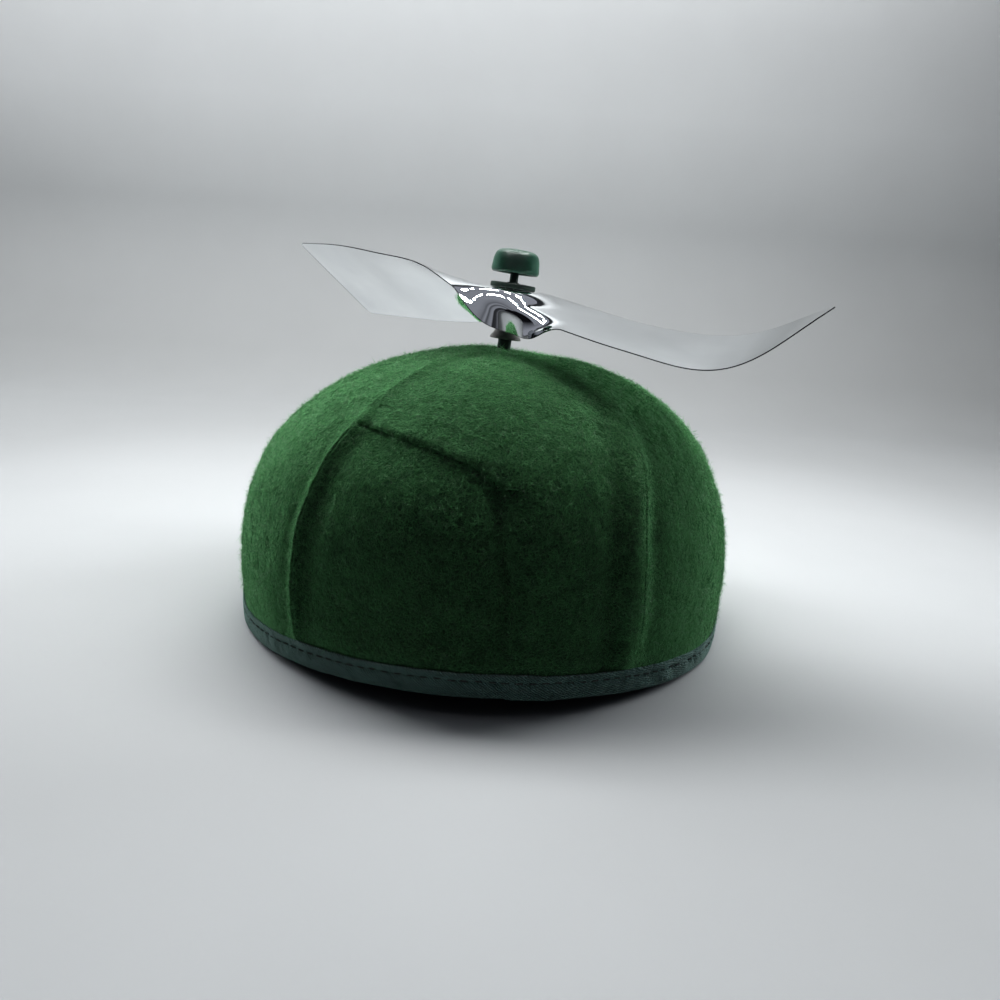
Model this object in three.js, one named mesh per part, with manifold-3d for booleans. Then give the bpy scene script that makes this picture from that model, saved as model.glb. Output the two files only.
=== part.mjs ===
import * as THREE from 'three';
import Module from 'manifold-3d';

const wasm = await Module();
wasm.setup();

// Lengths are millimetres, angles are degrees and up is Z.
// The front of the cap faces -Y and azimuths run from the front towards +X.

// Where the middle of the head opening stands from the middle of the whole outline.
const CAP_X = -10.1;
const CAP_Y = 0;

// Felt crown
const RIM_RADIUS = 90.2;
const WIDEST_RADIUS = RIM_RADIUS * 1.0122;
const CROWN_HEIGHT = 99.3;
const WIDEST_HEIGHT = CROWN_HEIGHT * 0.2276;
const CROWN_FULLNESS = 2.24;
const FELT_THICKNESS = 2.0;
const FELT_EDGE_HEIGHT = 1.2;
const SEAM_GAP = 0.3;
const SEAM_RIDGE = 1.2;
const SEAM_RIDGE_WIDTH = 3.2;
const RIDGE_START_RADIUS = 4;
const RIDGE_FULL_RADIUS = 22;
const DENT_FADE = 12;

// Ribbon folded over the felt's edge
const BINDING_HEIGHT = 8.0;
const BINDING_THICKNESS = 0.7;
const FELT_BOUND_HEIGHT = BINDING_HEIGHT + 0.6;

// Front of the cap: the rim bows up off the table and the panel above it is pushed in.
const ARCH_RISE = 5.6;
const ARCH_MIDDLE = -2;
const ARCH_HALF_WIDTH = 64;
const ARCH_FLATNESS = 1.2;

// Post through the top of the crown, leaning towards +X
const POST_LEAN = 5;
const POST_FOOT_X = 2.6;
const FLAT_TOP_RADIUS = 8;
const FLAT_TOP_BLEND = 28;
const TOP_SHIFT_START = 0.55;
const POST_RADIUS = 2.5;
const PIN_RADIUS = 1.55;
const FOOT_RADIUS = 7;
const FOOT_THICKNESS = 1.2;
const EDGE_BEVEL = 0.4;
const RUNNING_GAP = 0.3;
const SEAT_GAP = 0.3;

// Heights along the post, from the top of the felt
const COLLAR_BASE = 4.2;
const COLLAR_TOP = 10.2;
const LOBED_BASE = 10.5;
const SHOULDER = 21.4;
const BLADE_MIDDLE = 21.9;
const DISC_BASE = 22.4;
const DISC_TOP = 24.2;
const KNOB_BASE = 27.8;
const KNOB_TOP = 36.1;
const PIN_TOP = 32.7;

const COLLAR_RADIUS = 5.8;
const COLLAR_NECK = 0.86;
const LOBED_RADIUS = 12.5;
const LOBED_THICKNESS = 0.8;
const LOBE_COUNT = 6;
const LOBE_DEPTH = 0.2;
const LOBE_DISH = 2.2;
const DISC_RADIUS = 8.3;
const KNOB_RADIUS = 8.8;

// Propeller strip
const BLADE_REACH = 115;
const BLADE_WIDTH = 47.6;
const BLADE_THICKNESS = 0.4;
const BLADE_CORNER = 3;
const CORNER_CUT = 0.8;
const HUB_FLAT_RADIUS = 9.6;
const HUB_BLEND_RADIUS = 20;
const BEND_SHARPNESS = 4;

const FULL_TURN = 360;
const NORMAL_STEP = 0.4;
const AROUND_POST = 20;
const AROUND_DISC = 28;
const AROUND_LOBES = 48;

// Azimuths of the six seams, and how far each has slipped round near the top
const SEAMS = [
  { azimuth: -37.5, slip: 0 },
  { azimuth: 32.5, slip: 10 },
  { azimuth: 90.5, slip: 0 },
  { azimuth: 148.5, slip: 0 },
  { azimuth: 206.5, slip: 0 },
  { azimuth: 264.5, slip: 0 },
];
const SLIP_FROM = 0.4;
const SLIP_TO = 0.98;

// Where the columns of facets lie across a panel, as shares of its width
const FRONT_COLUMNS = [
  0, 0.04, 0.09, 0.16, 0.24, 0.32, 0.4, 0.48, 0.54, 0.58, 0.62, 0.68, 0.76, 0.84, 0.91, 0.96, 1,
];
const PLAIN_COLUMNS = [0, 0.045, 0.12, 0.25, 0.42, 0.58, 0.75, 0.88, 0.955, 1];

// Climb of the crown above its widest ring, as shares of the height left
const CLIMB = [0, 0.11, 0.22, 0.33, 0.45, 0.57, 0.68, 0.78, 0.87, 0.935, 0.975, 0.993];

// Dents pressed into the felt: azimuth and half width in degrees, height and half height
// as shares of the crown's height, depth in thicknesses of the felt
const DENTS = [
  { name: 'front panel', azimuth: -4, height: 0.34, across: 26, up: 0.24, depth: 1.3 },
  { name: 'beside the right seam', azimuth: 23, height: 0.3, across: 8, up: 0.26, depth: 0.7 },
  { name: 'low left', azimuth: -27, height: 0.24, across: 10, up: 0.16, depth: 0.5 },
  { name: 'upright fold', azimuth: 4.6, height: 0.46, across: 3.4, up: 0.21, depth: 1.0 },
  { name: 'back', azimuth: 174, height: 0.3, across: 30, up: 0.26, depth: 0.8 },
];

// A crease runs across the front panel from the left seam down to the upright fold
const CREASE = [
  { azimuth: -37.5, height: 0.778 },
  { azimuth: -15.2, height: 0.739 },
  { azimuth: -3.2, height: 0.7 },
  { azimuth: 4.6, height: 0.646 },
];
const CREASE_DEPTH = 1.3;
const CREASE_REACH = 7;
const CREASE_FADE = 7;
const CREASE_SKEW = 0.35;

// Section of the rim binding, on the felt's outer side (1) or inner side (-1):
// distance off the felt in thicknesses of ribbon, height as a share of the binding's
const BINDING_SECTION = [
  { side: 1, off: 0.35, height: 0 },
  { side: 1, off: 0.93, height: 0.06 },
  { side: 1, off: 1, height: 0.52 },
  { side: 1, off: 0.93, height: 0.95 },
  { side: 1, off: 0.57, height: 1 },
  { side: 1, off: 0, height: 1 },
  { side: 1, off: 0, height: 0.11 },
  { side: -1, off: 0, height: 0.11 },
  { side: -1, off: 0, height: 1 },
  { side: -1, off: 0.85, height: 1 },
  { side: -1, off: 0.93, height: 0.06 },
  { side: -1, off: 0.3, height: 0 },
];

// Stations along the strip: share of its reach, lift of its middle off the hub in shares of the
// reach, pitch with the far edge up, and how much its middle bulges up in shares of its width
const STRIP = [
  { share: -1, lift: 0.0155, pitch: -37.2, bulge: 0 },
  { share: -0.72, lift: 0.0077, pitch: -35.8, bulge: 0.002 },
  { share: -0.45, lift: -0.0088, pitch: -31.0, bulge: -0.013 },
  { share: -0.2, lift: -0.0167, pitch: -21.8, bulge: 0.044 },
  { share: 0, lift: -0.024, pitch: 3.7, bulge: 0.09 },
  { share: 0.2, lift: -0.064, pitch: 7.0, bulge: 0.012 },
  { share: 0.45, lift: -0.1184, pitch: 9.0, bulge: 0.006 },
  { share: 0.72, lift: -0.1375, pitch: 12.0, bulge: 0 },
  { share: 1, lift: 0.0007, pitch: 1.6, bulge: 0 },
];
const LEFT_RUN = 46;
const RIGHT_RUN = 21.5;
const STRIP_STATIONS = 48;
const STRIP_COLUMNS = [-1, -0.88, -0.78, -0.69, -0.6, -0.5, -0.2, 0.2, 0.6, 1];

// Beside the hub the strip's near edge is bent down into a lip: the bend at its most, where it
// begins and ends across the strip in half widths, and along it in shares of the reach
const LIP_BEND = 100;
const LIP_INNER = -0.5;
const LIP_OUTER = -0.82;
const LIP_START = -0.075;
const LIP_FULL = 0.07;
const LIP_FADE = 0.08;
const LIP_END = 0.27;
const LIP_STEPS = 24;

const DEG = Math.PI / 180;

function smoothstep(from, to, value) {
  const t = Math.min(1, Math.max(0, (value - from) / (to - from)));
  return t * t * (3 - 2 * t);
}

function bell(value) {
  return Math.exp(-value * value);
}

// An azimuth brought to within half a turn of the front
function turn(azimuth) {
  const half = FULL_TURN / 2;
  return ((((azimuth + half) % FULL_TURN) + FULL_TURN) % FULL_TURN) - half;
}

function seamAzimuth(index, height) {
  const { azimuth, slip } = SEAMS[index % SEAMS.length];
  const round = index < SEAMS.length ? 0 : FULL_TURN;
  return azimuth + round + slip * smoothstep(SLIP_FROM, SLIP_TO, height / CROWN_HEIGHT);
}

// A smooth curve through one named column of a table
function curveThrough(table, place, column, at) {
  const slope = (i) => {
    const a = table[Math.max(0, i - 1)];
    const b = table[Math.min(table.length - 1, i + 1)];
    return (b[column] - a[column]) / (b[place] - a[place]);
  };
  let i = 0;
  while (i < table.length - 2 && at > table[i + 1][place]) i += 1;
  const a = table[i];
  const b = table[i + 1];
  const span = b[place] - a[place];
  const t = (at - a[place]) / span;
  const h00 = (1 + 2 * t) * (1 - t) ** 2;
  const h10 = t * (1 - t) ** 2;
  const h01 = t * t * (3 - 2 * t);
  const h11 = t * t * (t - 1);
  return h00 * a[column] + h10 * span * slope(i) + h01 * b[column] + h11 * span * slope(i + 1);
}

// The crown's outer face
function plainRadius(height) {
  if (height < WIDEST_HEIGHT) {
    const t = height / WIDEST_HEIGHT;
    return RIM_RADIUS + (WIDEST_RADIUS - RIM_RADIUS) * (1 - (1 - t) ** 2);
  }
  const t = Math.min(1, (height - WIDEST_HEIGHT) / (CROWN_HEIGHT - WIDEST_HEIGHT));
  return WIDEST_RADIUS * (1 - t ** CROWN_FULLNESS) ** (1 / CROWN_FULLNESS);
}

function creaseHeight(azimuth) {
  return CROWN_HEIGHT * curveThrough(CREASE, 'azimuth', 'height', azimuth);
}

function pushedOut(azimuth, height, radius) {
  let out = 0;
  SEAMS.forEach((_, index) => {
    const across = turn(azimuth - seamAzimuth(index, height)) * DEG * radius;
    const risen = smoothstep(RIDGE_START_RADIUS, RIDGE_FULL_RADIUS, radius);
    out += SEAM_RIDGE * bell(across / SEAM_RIDGE_WIDTH) * risen;
  });
  for (const dent of DENTS) {
    const across = turn(azimuth - dent.azimuth) / dent.across;
    const up = (height / CROWN_HEIGHT - dent.height) / dent.up;
    out -= dent.depth * FELT_THICKNESS * bell(across) * bell(up);
  }
  const first = CREASE[0].azimuth;
  const last = CREASE[CREASE.length - 1].azimuth;
  const side = turn(azimuth);
  if (side > first && side < last + CREASE_FADE) {
    const below = creaseHeight(Math.min(side, last)) - height;
    const fade = 1 - smoothstep(last, last + CREASE_FADE, side);
    const start = smoothstep(first, first + CREASE_FADE, side);
    if (below > 0) out -= CREASE_DEPTH * fade * start * bell(below / CREASE_REACH - CREASE_SKEW);
  }
  return out * smoothstep(FELT_BOUND_HEIGHT, FELT_BOUND_HEIGHT + DENT_FADE, height);
}

function archRise(azimuth) {
  const t = Math.abs(turn(azimuth - ARCH_MIDDLE)) / ARCH_HALF_WIDTH;
  return t < 1 ? ARCH_RISE * Math.cos((t * Math.PI) / 2) ** ARCH_FLATNESS : 0;
}

function crownPoint(azimuth, height, radius) {
  const r = radius + pushedOut(azimuth, height, radius);
  const share = height / CROWN_HEIGHT;
  const foot = POST_FOOT_X * smoothstep(TOP_SHIFT_START, 1, share);
  const x = foot + r * Math.sin(azimuth * DEG);
  const y = -r * Math.cos(azimuth * DEG);
  const fromFoot = Math.hypot(x - POST_FOOT_X, y);
  const settle = 1 - smoothstep(FLAT_TOP_RADIUS, FLAT_TOP_BLEND, fromFoot);
  const z = height + archRise(azimuth) * (1 - share) ** 2;
  return new THREE.Vector3(x, y, z - (x - POST_FOOT_X) * Math.tan(POST_LEAN * DEG) * settle);
}

// Rows of the crown from the bound edge to the hole for the post
function crownRows() {
  const low = [FELT_EDGE_HEIGHT, FELT_BOUND_HEIGHT, (FELT_BOUND_HEIGHT + WIDEST_HEIGHT) / 2];
  const rows = low.map((height) => ({ height, radius: plainRadius(height) }));
  for (const share of CLIMB) {
    const height = WIDEST_HEIGHT + share * (CROWN_HEIGHT - WIDEST_HEIGHT);
    rows.push({ height, radius: plainRadius(height) });
  }
  rows.push({ height: CROWN_HEIGHT, radius: POST_RADIUS + SEAT_GAP });
  return rows;
}

function postAxis() {
  return new THREE.Vector3(Math.sin(POST_LEAN * DEG), 0, Math.cos(POST_LEAN * DEG));
}

function crownNormal(azimuth, row, rows, index) {
  if (index === 0) return new THREE.Vector3(Math.sin(azimuth * DEG), -Math.cos(azimuth * DEG), 0);
  if (index === rows.length - 1) return postAxis();
  const before = rows[index - 1];
  const after = rows[index + 1];
  const step = (NORMAL_STEP / Math.max(row.radius, RIDGE_START_RADIUS)) / DEG;
  const across = crownPoint(azimuth + step, row.height, row.radius)
    .sub(crownPoint(azimuth - step, row.height, row.radius));
  const up = crownPoint(azimuth, after.height, after.radius)
    .sub(crownPoint(azimuth, before.height, before.radius));
  return across.cross(up).normalize();
}

// Closed meshes
function closedMesh(name, vertices, triangles, look) {
  const geometry = new THREE.BufferGeometry();
  const numbers = vertices.flatMap((v) => [v.x, v.y, v.z]);
  geometry.setAttribute('position', new THREE.Float32BufferAttribute(numbers, 3));
  geometry.setIndex(triangles.flat());
  geometry.computeVertexNormals();
  const mesh = new THREE.Mesh(geometry, new THREE.MeshStandardMaterial(look));
  mesh.name = name;
  return mesh;
}

// A sheet between two grids of the same size, closed along its four edges
function sheetMesh(name, outer, inner, look) {
  const rows = outer.length;
  const columns = outer[0].length;
  const vertices = [...outer.flat(), ...inner.flat()];
  const at = (layer, i, j) => layer * rows * columns + i * columns + j;
  const triangles = [];
  const quad = (a, b, c, d) => triangles.push([a, b, c], [a, c, d]);
  for (let i = 0; i < rows - 1; i += 1) {
    for (let j = 0; j < columns - 1; j += 1) {
      quad(at(0, i, j), at(0, i, j + 1), at(0, i + 1, j + 1), at(0, i + 1, j));
      quad(at(1, i, j), at(1, i + 1, j), at(1, i + 1, j + 1), at(1, i, j + 1));
    }
  }
  for (let j = 0; j < columns - 1; j += 1) {
    quad(at(0, 0, j), at(1, 0, j), at(1, 0, j + 1), at(0, 0, j + 1));
    quad(at(0, rows - 1, j), at(0, rows - 1, j + 1), at(1, rows - 1, j + 1), at(1, rows - 1, j));
  }
  for (let i = 0; i < rows - 1; i += 1) {
    quad(at(0, i, 0), at(0, i + 1, 0), at(1, i + 1, 0), at(1, i, 0));
    quad(at(0, i, columns - 1), at(1, i, columns - 1), at(1, i + 1, columns - 1), at(0, i + 1, columns - 1));
  }
  return closedMesh(name, vertices, triangles, look);
}

// A tube of sections, each a closed loop of points, that runs round and meets itself
function ringMesh(name, sections, look) {
  const count = sections.length;
  const size = sections[0].length;
  const triangles = [];
  for (let i = 0; i < count; i += 1) {
    const next = (i + 1) % count;
    for (let j = 0; j < size; j += 1) {
      const side = (j + 1) % size;
      triangles.push([i * size + j, next * size + j, next * size + side]);
      triangles.push([i * size + j, next * size + side, i * size + side]);
    }
  }
  return closedMesh(name, sections.flat(), triangles, look);
}

// A place on the leaning post: distance along it, distance out from it and angle round it
function onPost(along, out, angle) {
  const lean = POST_LEAN * DEG;
  const x = out * Math.cos(angle);
  return new THREE.Vector3(
    POST_FOOT_X + x * Math.cos(lean) + along * Math.sin(lean),
    out * Math.sin(angle),
    CROWN_HEIGHT - x * Math.sin(lean) + along * Math.cos(lean),
  );
}

// A round piece on the post whose profile starts and ends on the post's middle line
function turnedSolid(profile, around) {
  const vertices = [onPost(profile[0].along, 0, 0)];
  const loops = profile.slice(1, -1);
  for (const { along, out } of loops) {
    for (let k = 0; k < around; k += 1) vertices.push(onPost(along, out, (2 * Math.PI * k) / around));
  }
  const last = vertices.length;
  vertices.push(onPost(profile[profile.length - 1].along, 0, 0));
  const at = (i, k) => 1 + i * around + (k % around);
  const triangles = [];
  for (let k = 0; k < around; k += 1) {
    triangles.push([0, at(0, k + 1), at(0, k)]);
    for (let i = 0; i < loops.length - 1; i += 1) {
      triangles.push([at(i, k), at(i, k + 1), at(i + 1, k + 1)]);
      triangles.push([at(i, k), at(i + 1, k + 1), at(i + 1, k)]);
    }
    triangles.push([at(loops.length - 1, k), at(loops.length - 1, k + 1), last]);
  }
  return { vertices, triangles };
}

// A round piece with a hole, whose profile closes on itself; shape bends each point
function turnedRing(name, profile, around, look, shape = (point) => point) {
  const sections = [];
  for (let k = 0; k < around; k += 1) {
    const angle = (2 * Math.PI * k) / around;
    sections.push(profile.map((point) => {
      const { along, out } = shape(point, angle);
      return onPost(along, out, angle);
    }));
  }
  return ringMesh(name, sections, look);
}

function manifoldOf(vertices, triangles) {
  return new wasm.Manifold(new wasm.Mesh({
    numProp: 3,
    vertProperties: new Float32Array(vertices.flatMap((v) => [v.x, v.y, v.z])),
    triVerts: new Uint32Array(triangles.flat()),
  }));
}

// Looks
const FELT = { color: 0x2c6b33, roughness: 0.95, metalness: 0 };
const RIBBON = { color: 0x3d5a54, roughness: 0.7, metalness: 0 };
const DARK_PLASTIC = { color: 0x1f3a2c, roughness: 0.5, metalness: 0 };
const GREEN_PLASTIC = { color: 0x2b5c47, roughness: 0.45, metalness: 0 };
const GREY_PLASTIC = { color: 0x5d5954, roughness: 0.55, metalness: 0 };
const BRIGHT_METAL = { color: 0xa9adaf, roughness: 0.3, metalness: 1 };
const MIRROR_SHEET = { color: 0xd9dcde, roughness: 0.05, metalness: 1 };

// Pieces
function panelAzimuths(index, height) {
  const from = seamAzimuth(index, height);
  const to = seamAzimuth(index + 1, height);
  const columns = index === 0 ? FRONT_COLUMNS : PLAIN_COLUMNS;
  return columns.map((share) => from + share * (to - from));
}

function crownPanel(index) {
  const rows = crownRows();
  const outer = [];
  const inner = [];
  rows.forEach((row, i) => {
    const inset = (SEAM_GAP / 2 / row.radius) / DEG;
    const azimuths = panelAzimuths(index, row.height);
    azimuths[0] += inset;
    azimuths[azimuths.length - 1] -= inset;
    const face = azimuths.map((azimuth) => crownPoint(azimuth, row.height, row.radius));
    outer.push(face);
    inner.push(face.map((point, j) => point.clone()
      .addScaledVector(crownNormal(azimuths[j], row, rows, i), -FELT_THICKNESS)));
  });
  return sheetMesh(`crown_panel_${index + 1}`, outer, inner, FELT);
}

function rimBinding() {
  const azimuths = SEAMS.flatMap((_, index) => panelAzimuths(index, 0).slice(0, -1));
  const low = plainRadius(FELT_EDGE_HEIGHT);
  const slope = (plainRadius(FELT_BOUND_HEIGHT) - low) / (FELT_BOUND_HEIGHT - FELT_EDGE_HEIGHT);
  const sections = azimuths.map((azimuth) => {
    const rise = archRise(azimuth) * (1 - FELT_EDGE_HEIGHT / CROWN_HEIGHT) ** 2;
    return BINDING_SECTION.map(({ side, off, height }) => {
      const up = height * BINDING_HEIGHT;
      const face = low + slope * (up - FELT_EDGE_HEIGHT) - (side < 0 ? FELT_THICKNESS : 0);
      const radius = face + side * (SEAT_GAP + off * BINDING_THICKNESS);
      return new THREE.Vector3(radius * Math.sin(azimuth * DEG), -radius * Math.cos(azimuth * DEG), up + rise);
    });
  });
  return ringMesh('rim_binding', sections, RIBBON);
}

function post() {
  const top = -FELT_THICKNESS - SEAT_GAP;
  const base = top - FOOT_THICKNESS;
  const profile = [
    { along: base, out: 0 },
    { along: base, out: FOOT_RADIUS - EDGE_BEVEL },
    { along: base + EDGE_BEVEL, out: FOOT_RADIUS },
    { along: top, out: FOOT_RADIUS },
    { along: top, out: POST_RADIUS },
    { along: SHOULDER, out: POST_RADIUS },
    { along: SHOULDER, out: PIN_RADIUS },
    { along: PIN_TOP, out: PIN_RADIUS },
    { along: PIN_TOP, out: 0 },
  ];
  const { vertices, triangles } = turnedSolid(profile, AROUND_POST);
  return closedMesh('post', vertices, triangles, DARK_PLASTIC);
}

function collar() {
  const bore = POST_RADIUS + SEAT_GAP;
  const tall = COLLAR_TOP - COLLAR_BASE;
  const profile = [
    { along: COLLAR_BASE, out: bore },
    { along: COLLAR_BASE, out: COLLAR_RADIUS },
    { along: COLLAR_BASE + tall * 0.17, out: COLLAR_RADIUS * 0.97 },
    { along: COLLAR_BASE + tall * 0.42, out: COLLAR_RADIUS * 0.78 },
    { along: COLLAR_BASE + tall * 0.7, out: COLLAR_RADIUS * 0.72 },
    { along: COLLAR_TOP, out: COLLAR_RADIUS * COLLAR_NECK },
    { along: COLLAR_TOP, out: bore },
  ];
  return turnedRing('collar', profile, AROUND_POST, GREY_PLASTIC);
}

function lobedWasher() {
  const bore = POST_RADIUS + SEAT_GAP;
  const flat = COLLAR_RADIUS * COLLAR_NECK;
  const middle = (flat + LOBED_RADIUS) / 2;
  const top = LOBED_BASE + LOBED_THICKNESS;
  const profile = [
    { along: LOBED_BASE, out: bore },
    { along: LOBED_BASE, out: flat },
    { along: LOBED_BASE, out: middle },
    { along: LOBED_BASE, out: LOBED_RADIUS },
    { along: top, out: LOBED_RADIUS },
    { along: top, out: middle },
    { along: top, out: flat },
    { along: top, out: bore },
  ];
  const shape = ({ along, out }, angle) => {
    const reach = Math.max(0, (out - flat) / (LOBED_RADIUS - flat));
    const lobe = 1 - LOBE_DEPTH * reach * (1 - Math.cos(LOBE_COUNT * angle));
    return { along: along + LOBE_DISH * reach * reach, out: out * lobe };
  };
  return turnedRing('lobed_washer', profile, AROUND_LOBES, BRIGHT_METAL, shape);
}

function topDisc() {
  const bore = PIN_RADIUS + SEAT_GAP;
  const profile = [
    { along: DISC_BASE, out: bore },
    { along: DISC_BASE, out: DISC_RADIUS - EDGE_BEVEL },
    { along: DISC_BASE + EDGE_BEVEL, out: DISC_RADIUS },
    { along: DISC_TOP - EDGE_BEVEL, out: DISC_RADIUS },
    { along: DISC_TOP, out: DISC_RADIUS - EDGE_BEVEL },
    { along: DISC_TOP, out: bore },
  ];
  return turnedRing('top_disc', profile, AROUND_DISC, DARK_PLASTIC);
}

function knob() {
  const socket = PIN_RADIUS + SEAT_GAP;
  const tall = KNOB_TOP - KNOB_BASE;
  const profile = [
    { along: PIN_TOP + SEAT_GAP, out: 0 },
    { along: PIN_TOP + SEAT_GAP, out: socket },
    { along: KNOB_BASE, out: socket },
    { along: KNOB_BASE, out: KNOB_RADIUS * 0.93 },
    { along: KNOB_BASE + tall * 0.06, out: KNOB_RADIUS * 0.99 },
    { along: KNOB_BASE + tall * 0.2, out: KNOB_RADIUS },
    { along: KNOB_BASE + tall * 0.6, out: KNOB_RADIUS * 0.95 },
    { along: KNOB_BASE + tall * 0.82, out: KNOB_RADIUS * 0.88 },
    { along: KNOB_BASE + tall * 0.93, out: KNOB_RADIUS * 0.78 },
    { along: KNOB_BASE + tall * 0.985, out: KNOB_RADIUS * 0.62 },
    { along: KNOB_TOP, out: KNOB_RADIUS * 0.38 },
    { along: KNOB_TOP, out: 0 },
  ];
  const { vertices, triangles } = turnedSolid(profile, AROUND_DISC);
  return closedMesh('knob', vertices, triangles, GREEN_PLASTIC);
}

// The strip's middle line and the level direction across it, at evenly spaced stations
function stripLine() {
  const stations = [];
  const hub = onPost(BLADE_MIDDLE, 0, 0);
  let x = 0;
  let y = 0;
  for (let i = 0; i <= STRIP_STATIONS; i += 1) {
    const share = -1 + (2 * i) / STRIP_STATIONS;
    const run = (LEFT_RUN + (RIGHT_RUN - LEFT_RUN) * 0.5 * (1 + Math.tanh(share * BEND_SHARPNESS))) * DEG;
    const height = hub.z + BLADE_REACH * curveThrough(STRIP, 'share', 'lift', share);
    if (i > 0) {
      const before = stations[i - 1];
      const rise = height - before.height;
      const level = Math.sqrt(((2 * BLADE_REACH) / STRIP_STATIONS) ** 2 - rise * rise);
      const middle = (before.run + run) / 2;
      x += level * Math.cos(middle);
      y -= level * Math.sin(middle);
    }
    stations.push({ share, run, height, x, y });
  }
  const centre = stations[STRIP_STATIONS / 2];
  return stations.map((s) => ({ ...s, x: s.x - centre.x + hub.x, y: s.y - centre.y + hub.y }));
}

function stripPoint(station, across) {
  const pitch = curveThrough(STRIP, 'share', 'pitch', station.share) * DEG;
  const bulge = BLADE_WIDTH * curveThrough(STRIP, 'share', 'bulge', station.share);
  const endShare = Math.max(0, (Math.abs(station.share) - 1) * BLADE_REACH + BLADE_CORNER) / BLADE_CORNER;
  const half = BLADE_WIDTH / 2 - BLADE_CORNER * (1 - Math.sqrt(1 - endShare * endShare)) * CORNER_CUT;
  const chord = new THREE.Vector3(
    Math.cos(pitch) * Math.sin(station.run),
    Math.cos(pitch) * Math.cos(station.run),
    Math.sin(pitch),
  );
  const up = new THREE.Vector3(
    -Math.sin(pitch) * Math.sin(station.run),
    -Math.sin(pitch) * Math.cos(station.run),
    Math.cos(pitch),
  );
  const point = new THREE.Vector3(station.x, station.y, station.height)
    .addScaledVector(chord, across * half)
    .addScaledVector(up, bulge * (1 - across * across));
  const lip = lipShift(across, station.share);
  return flattenedAtHub(point)
    .addScaledVector(chord, lip.inward * half)
    .addScaledVector(up, -lip.down * half);
}

// How far the bend of the lip brings a point in and down, in half widths of the strip
function lipShift(across, share) {
  const grown = smoothstep(LIP_START, LIP_FULL, share) * (1 - smoothstep(LIP_FADE, LIP_END, share));
  const reach = Math.max(0, LIP_INNER - across);
  let inward = 0;
  let down = 0;
  for (let k = 0; k < LIP_STEPS; k += 1) {
    const place = LIP_INNER - (reach * (k + 0.5)) / LIP_STEPS;
    const angle = LIP_BEND * DEG * grown * smoothstep(-LIP_INNER, -LIP_OUTER, -place);
    inward += (reach / LIP_STEPS) * (1 - Math.cos(angle));
    down += (reach / LIP_STEPS) * Math.sin(angle);
  }
  return { inward, down };
}

// Between the shoulder and the disc the strip lies flat across the post
function flattenedAtHub(point) {
  const axis = postAxis();
  const middle = onPost(BLADE_MIDDLE, 0, 0);
  const off = point.clone().sub(middle).dot(axis);
  const out = point.clone().sub(middle).addScaledVector(axis, -off).length();
  return point.addScaledVector(axis, -off * (1 - smoothstep(HUB_FLAT_RADIUS, HUB_BLEND_RADIUS, out)));
}

function propeller() {
  const line = stripLine();
  const grid = line.map((station) => STRIP_COLUMNS.map((across) => stripPoint(station, across)));
  const last = STRIP_COLUMNS.length - 1;
  const normalAt = (i, j) => {
    const along = grid[Math.min(i + 1, grid.length - 1)][j].clone().sub(grid[Math.max(i - 1, 0)][j]);
    const across = grid[i][Math.min(j + 1, last)].clone().sub(grid[i][Math.max(j - 1, 0)]);
    return along.cross(across).normalize();
  };
  const layer = (side) => grid.map((row, i) => row.map((point, j) => point.clone()
    .addScaledVector(normalAt(i, j), (side * BLADE_THICKNESS) / 2)));
  const sheet = sheetMesh('propeller', layer(-1), layer(1), MIRROR_SHEET);
  const position = sheet.geometry.getAttribute('position');
  const vertices = [];
  for (let i = 0; i < position.count; i += 1) {
    vertices.push(new THREE.Vector3().fromBufferAttribute(position, i));
  }
  const index = [...sheet.geometry.getIndex().array];
  const triangles = [];
  for (let i = 0; i < index.length; i += 3) triangles.push(index.slice(i, i + 3));
  const hole = turnedSolid([
    { along: COLLAR_TOP, out: 0 },
    { along: COLLAR_TOP, out: PIN_RADIUS + RUNNING_GAP },
    { along: DISC_TOP, out: PIN_RADIUS + RUNNING_GAP },
    { along: DISC_TOP, out: 0 },
  ], AROUND_POST);
  const holed = manifoldOf(vertices, triangles).subtract(manifoldOf(hole.vertices, hole.triangles)).getMesh();
  const cut = [];
  for (let i = 0; i < holed.vertProperties.length; i += holed.numProp) {
    cut.push(new THREE.Vector3(...holed.vertProperties.slice(i, i + 3)));
  }
  const faces = [];
  for (let i = 0; i < holed.triVerts.length; i += 3) faces.push([...holed.triVerts.slice(i, i + 3)]);
  return closedMesh('propeller', cut, faces, MIRROR_SHEET);
}

const beanie = new THREE.Group();
SEAMS.forEach((_, index) => beanie.add(crownPanel(index)));
beanie.add(rimBinding(), post(), collar(), lobedWasher(), propeller(), topDisc(), knob());
for (const piece of beanie.children) piece.geometry.translate(CAP_X, CAP_Y, 0);

export default beanie;
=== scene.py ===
import math

import bpy
import numpy as np
from mathutils import Matrix, Vector


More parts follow.
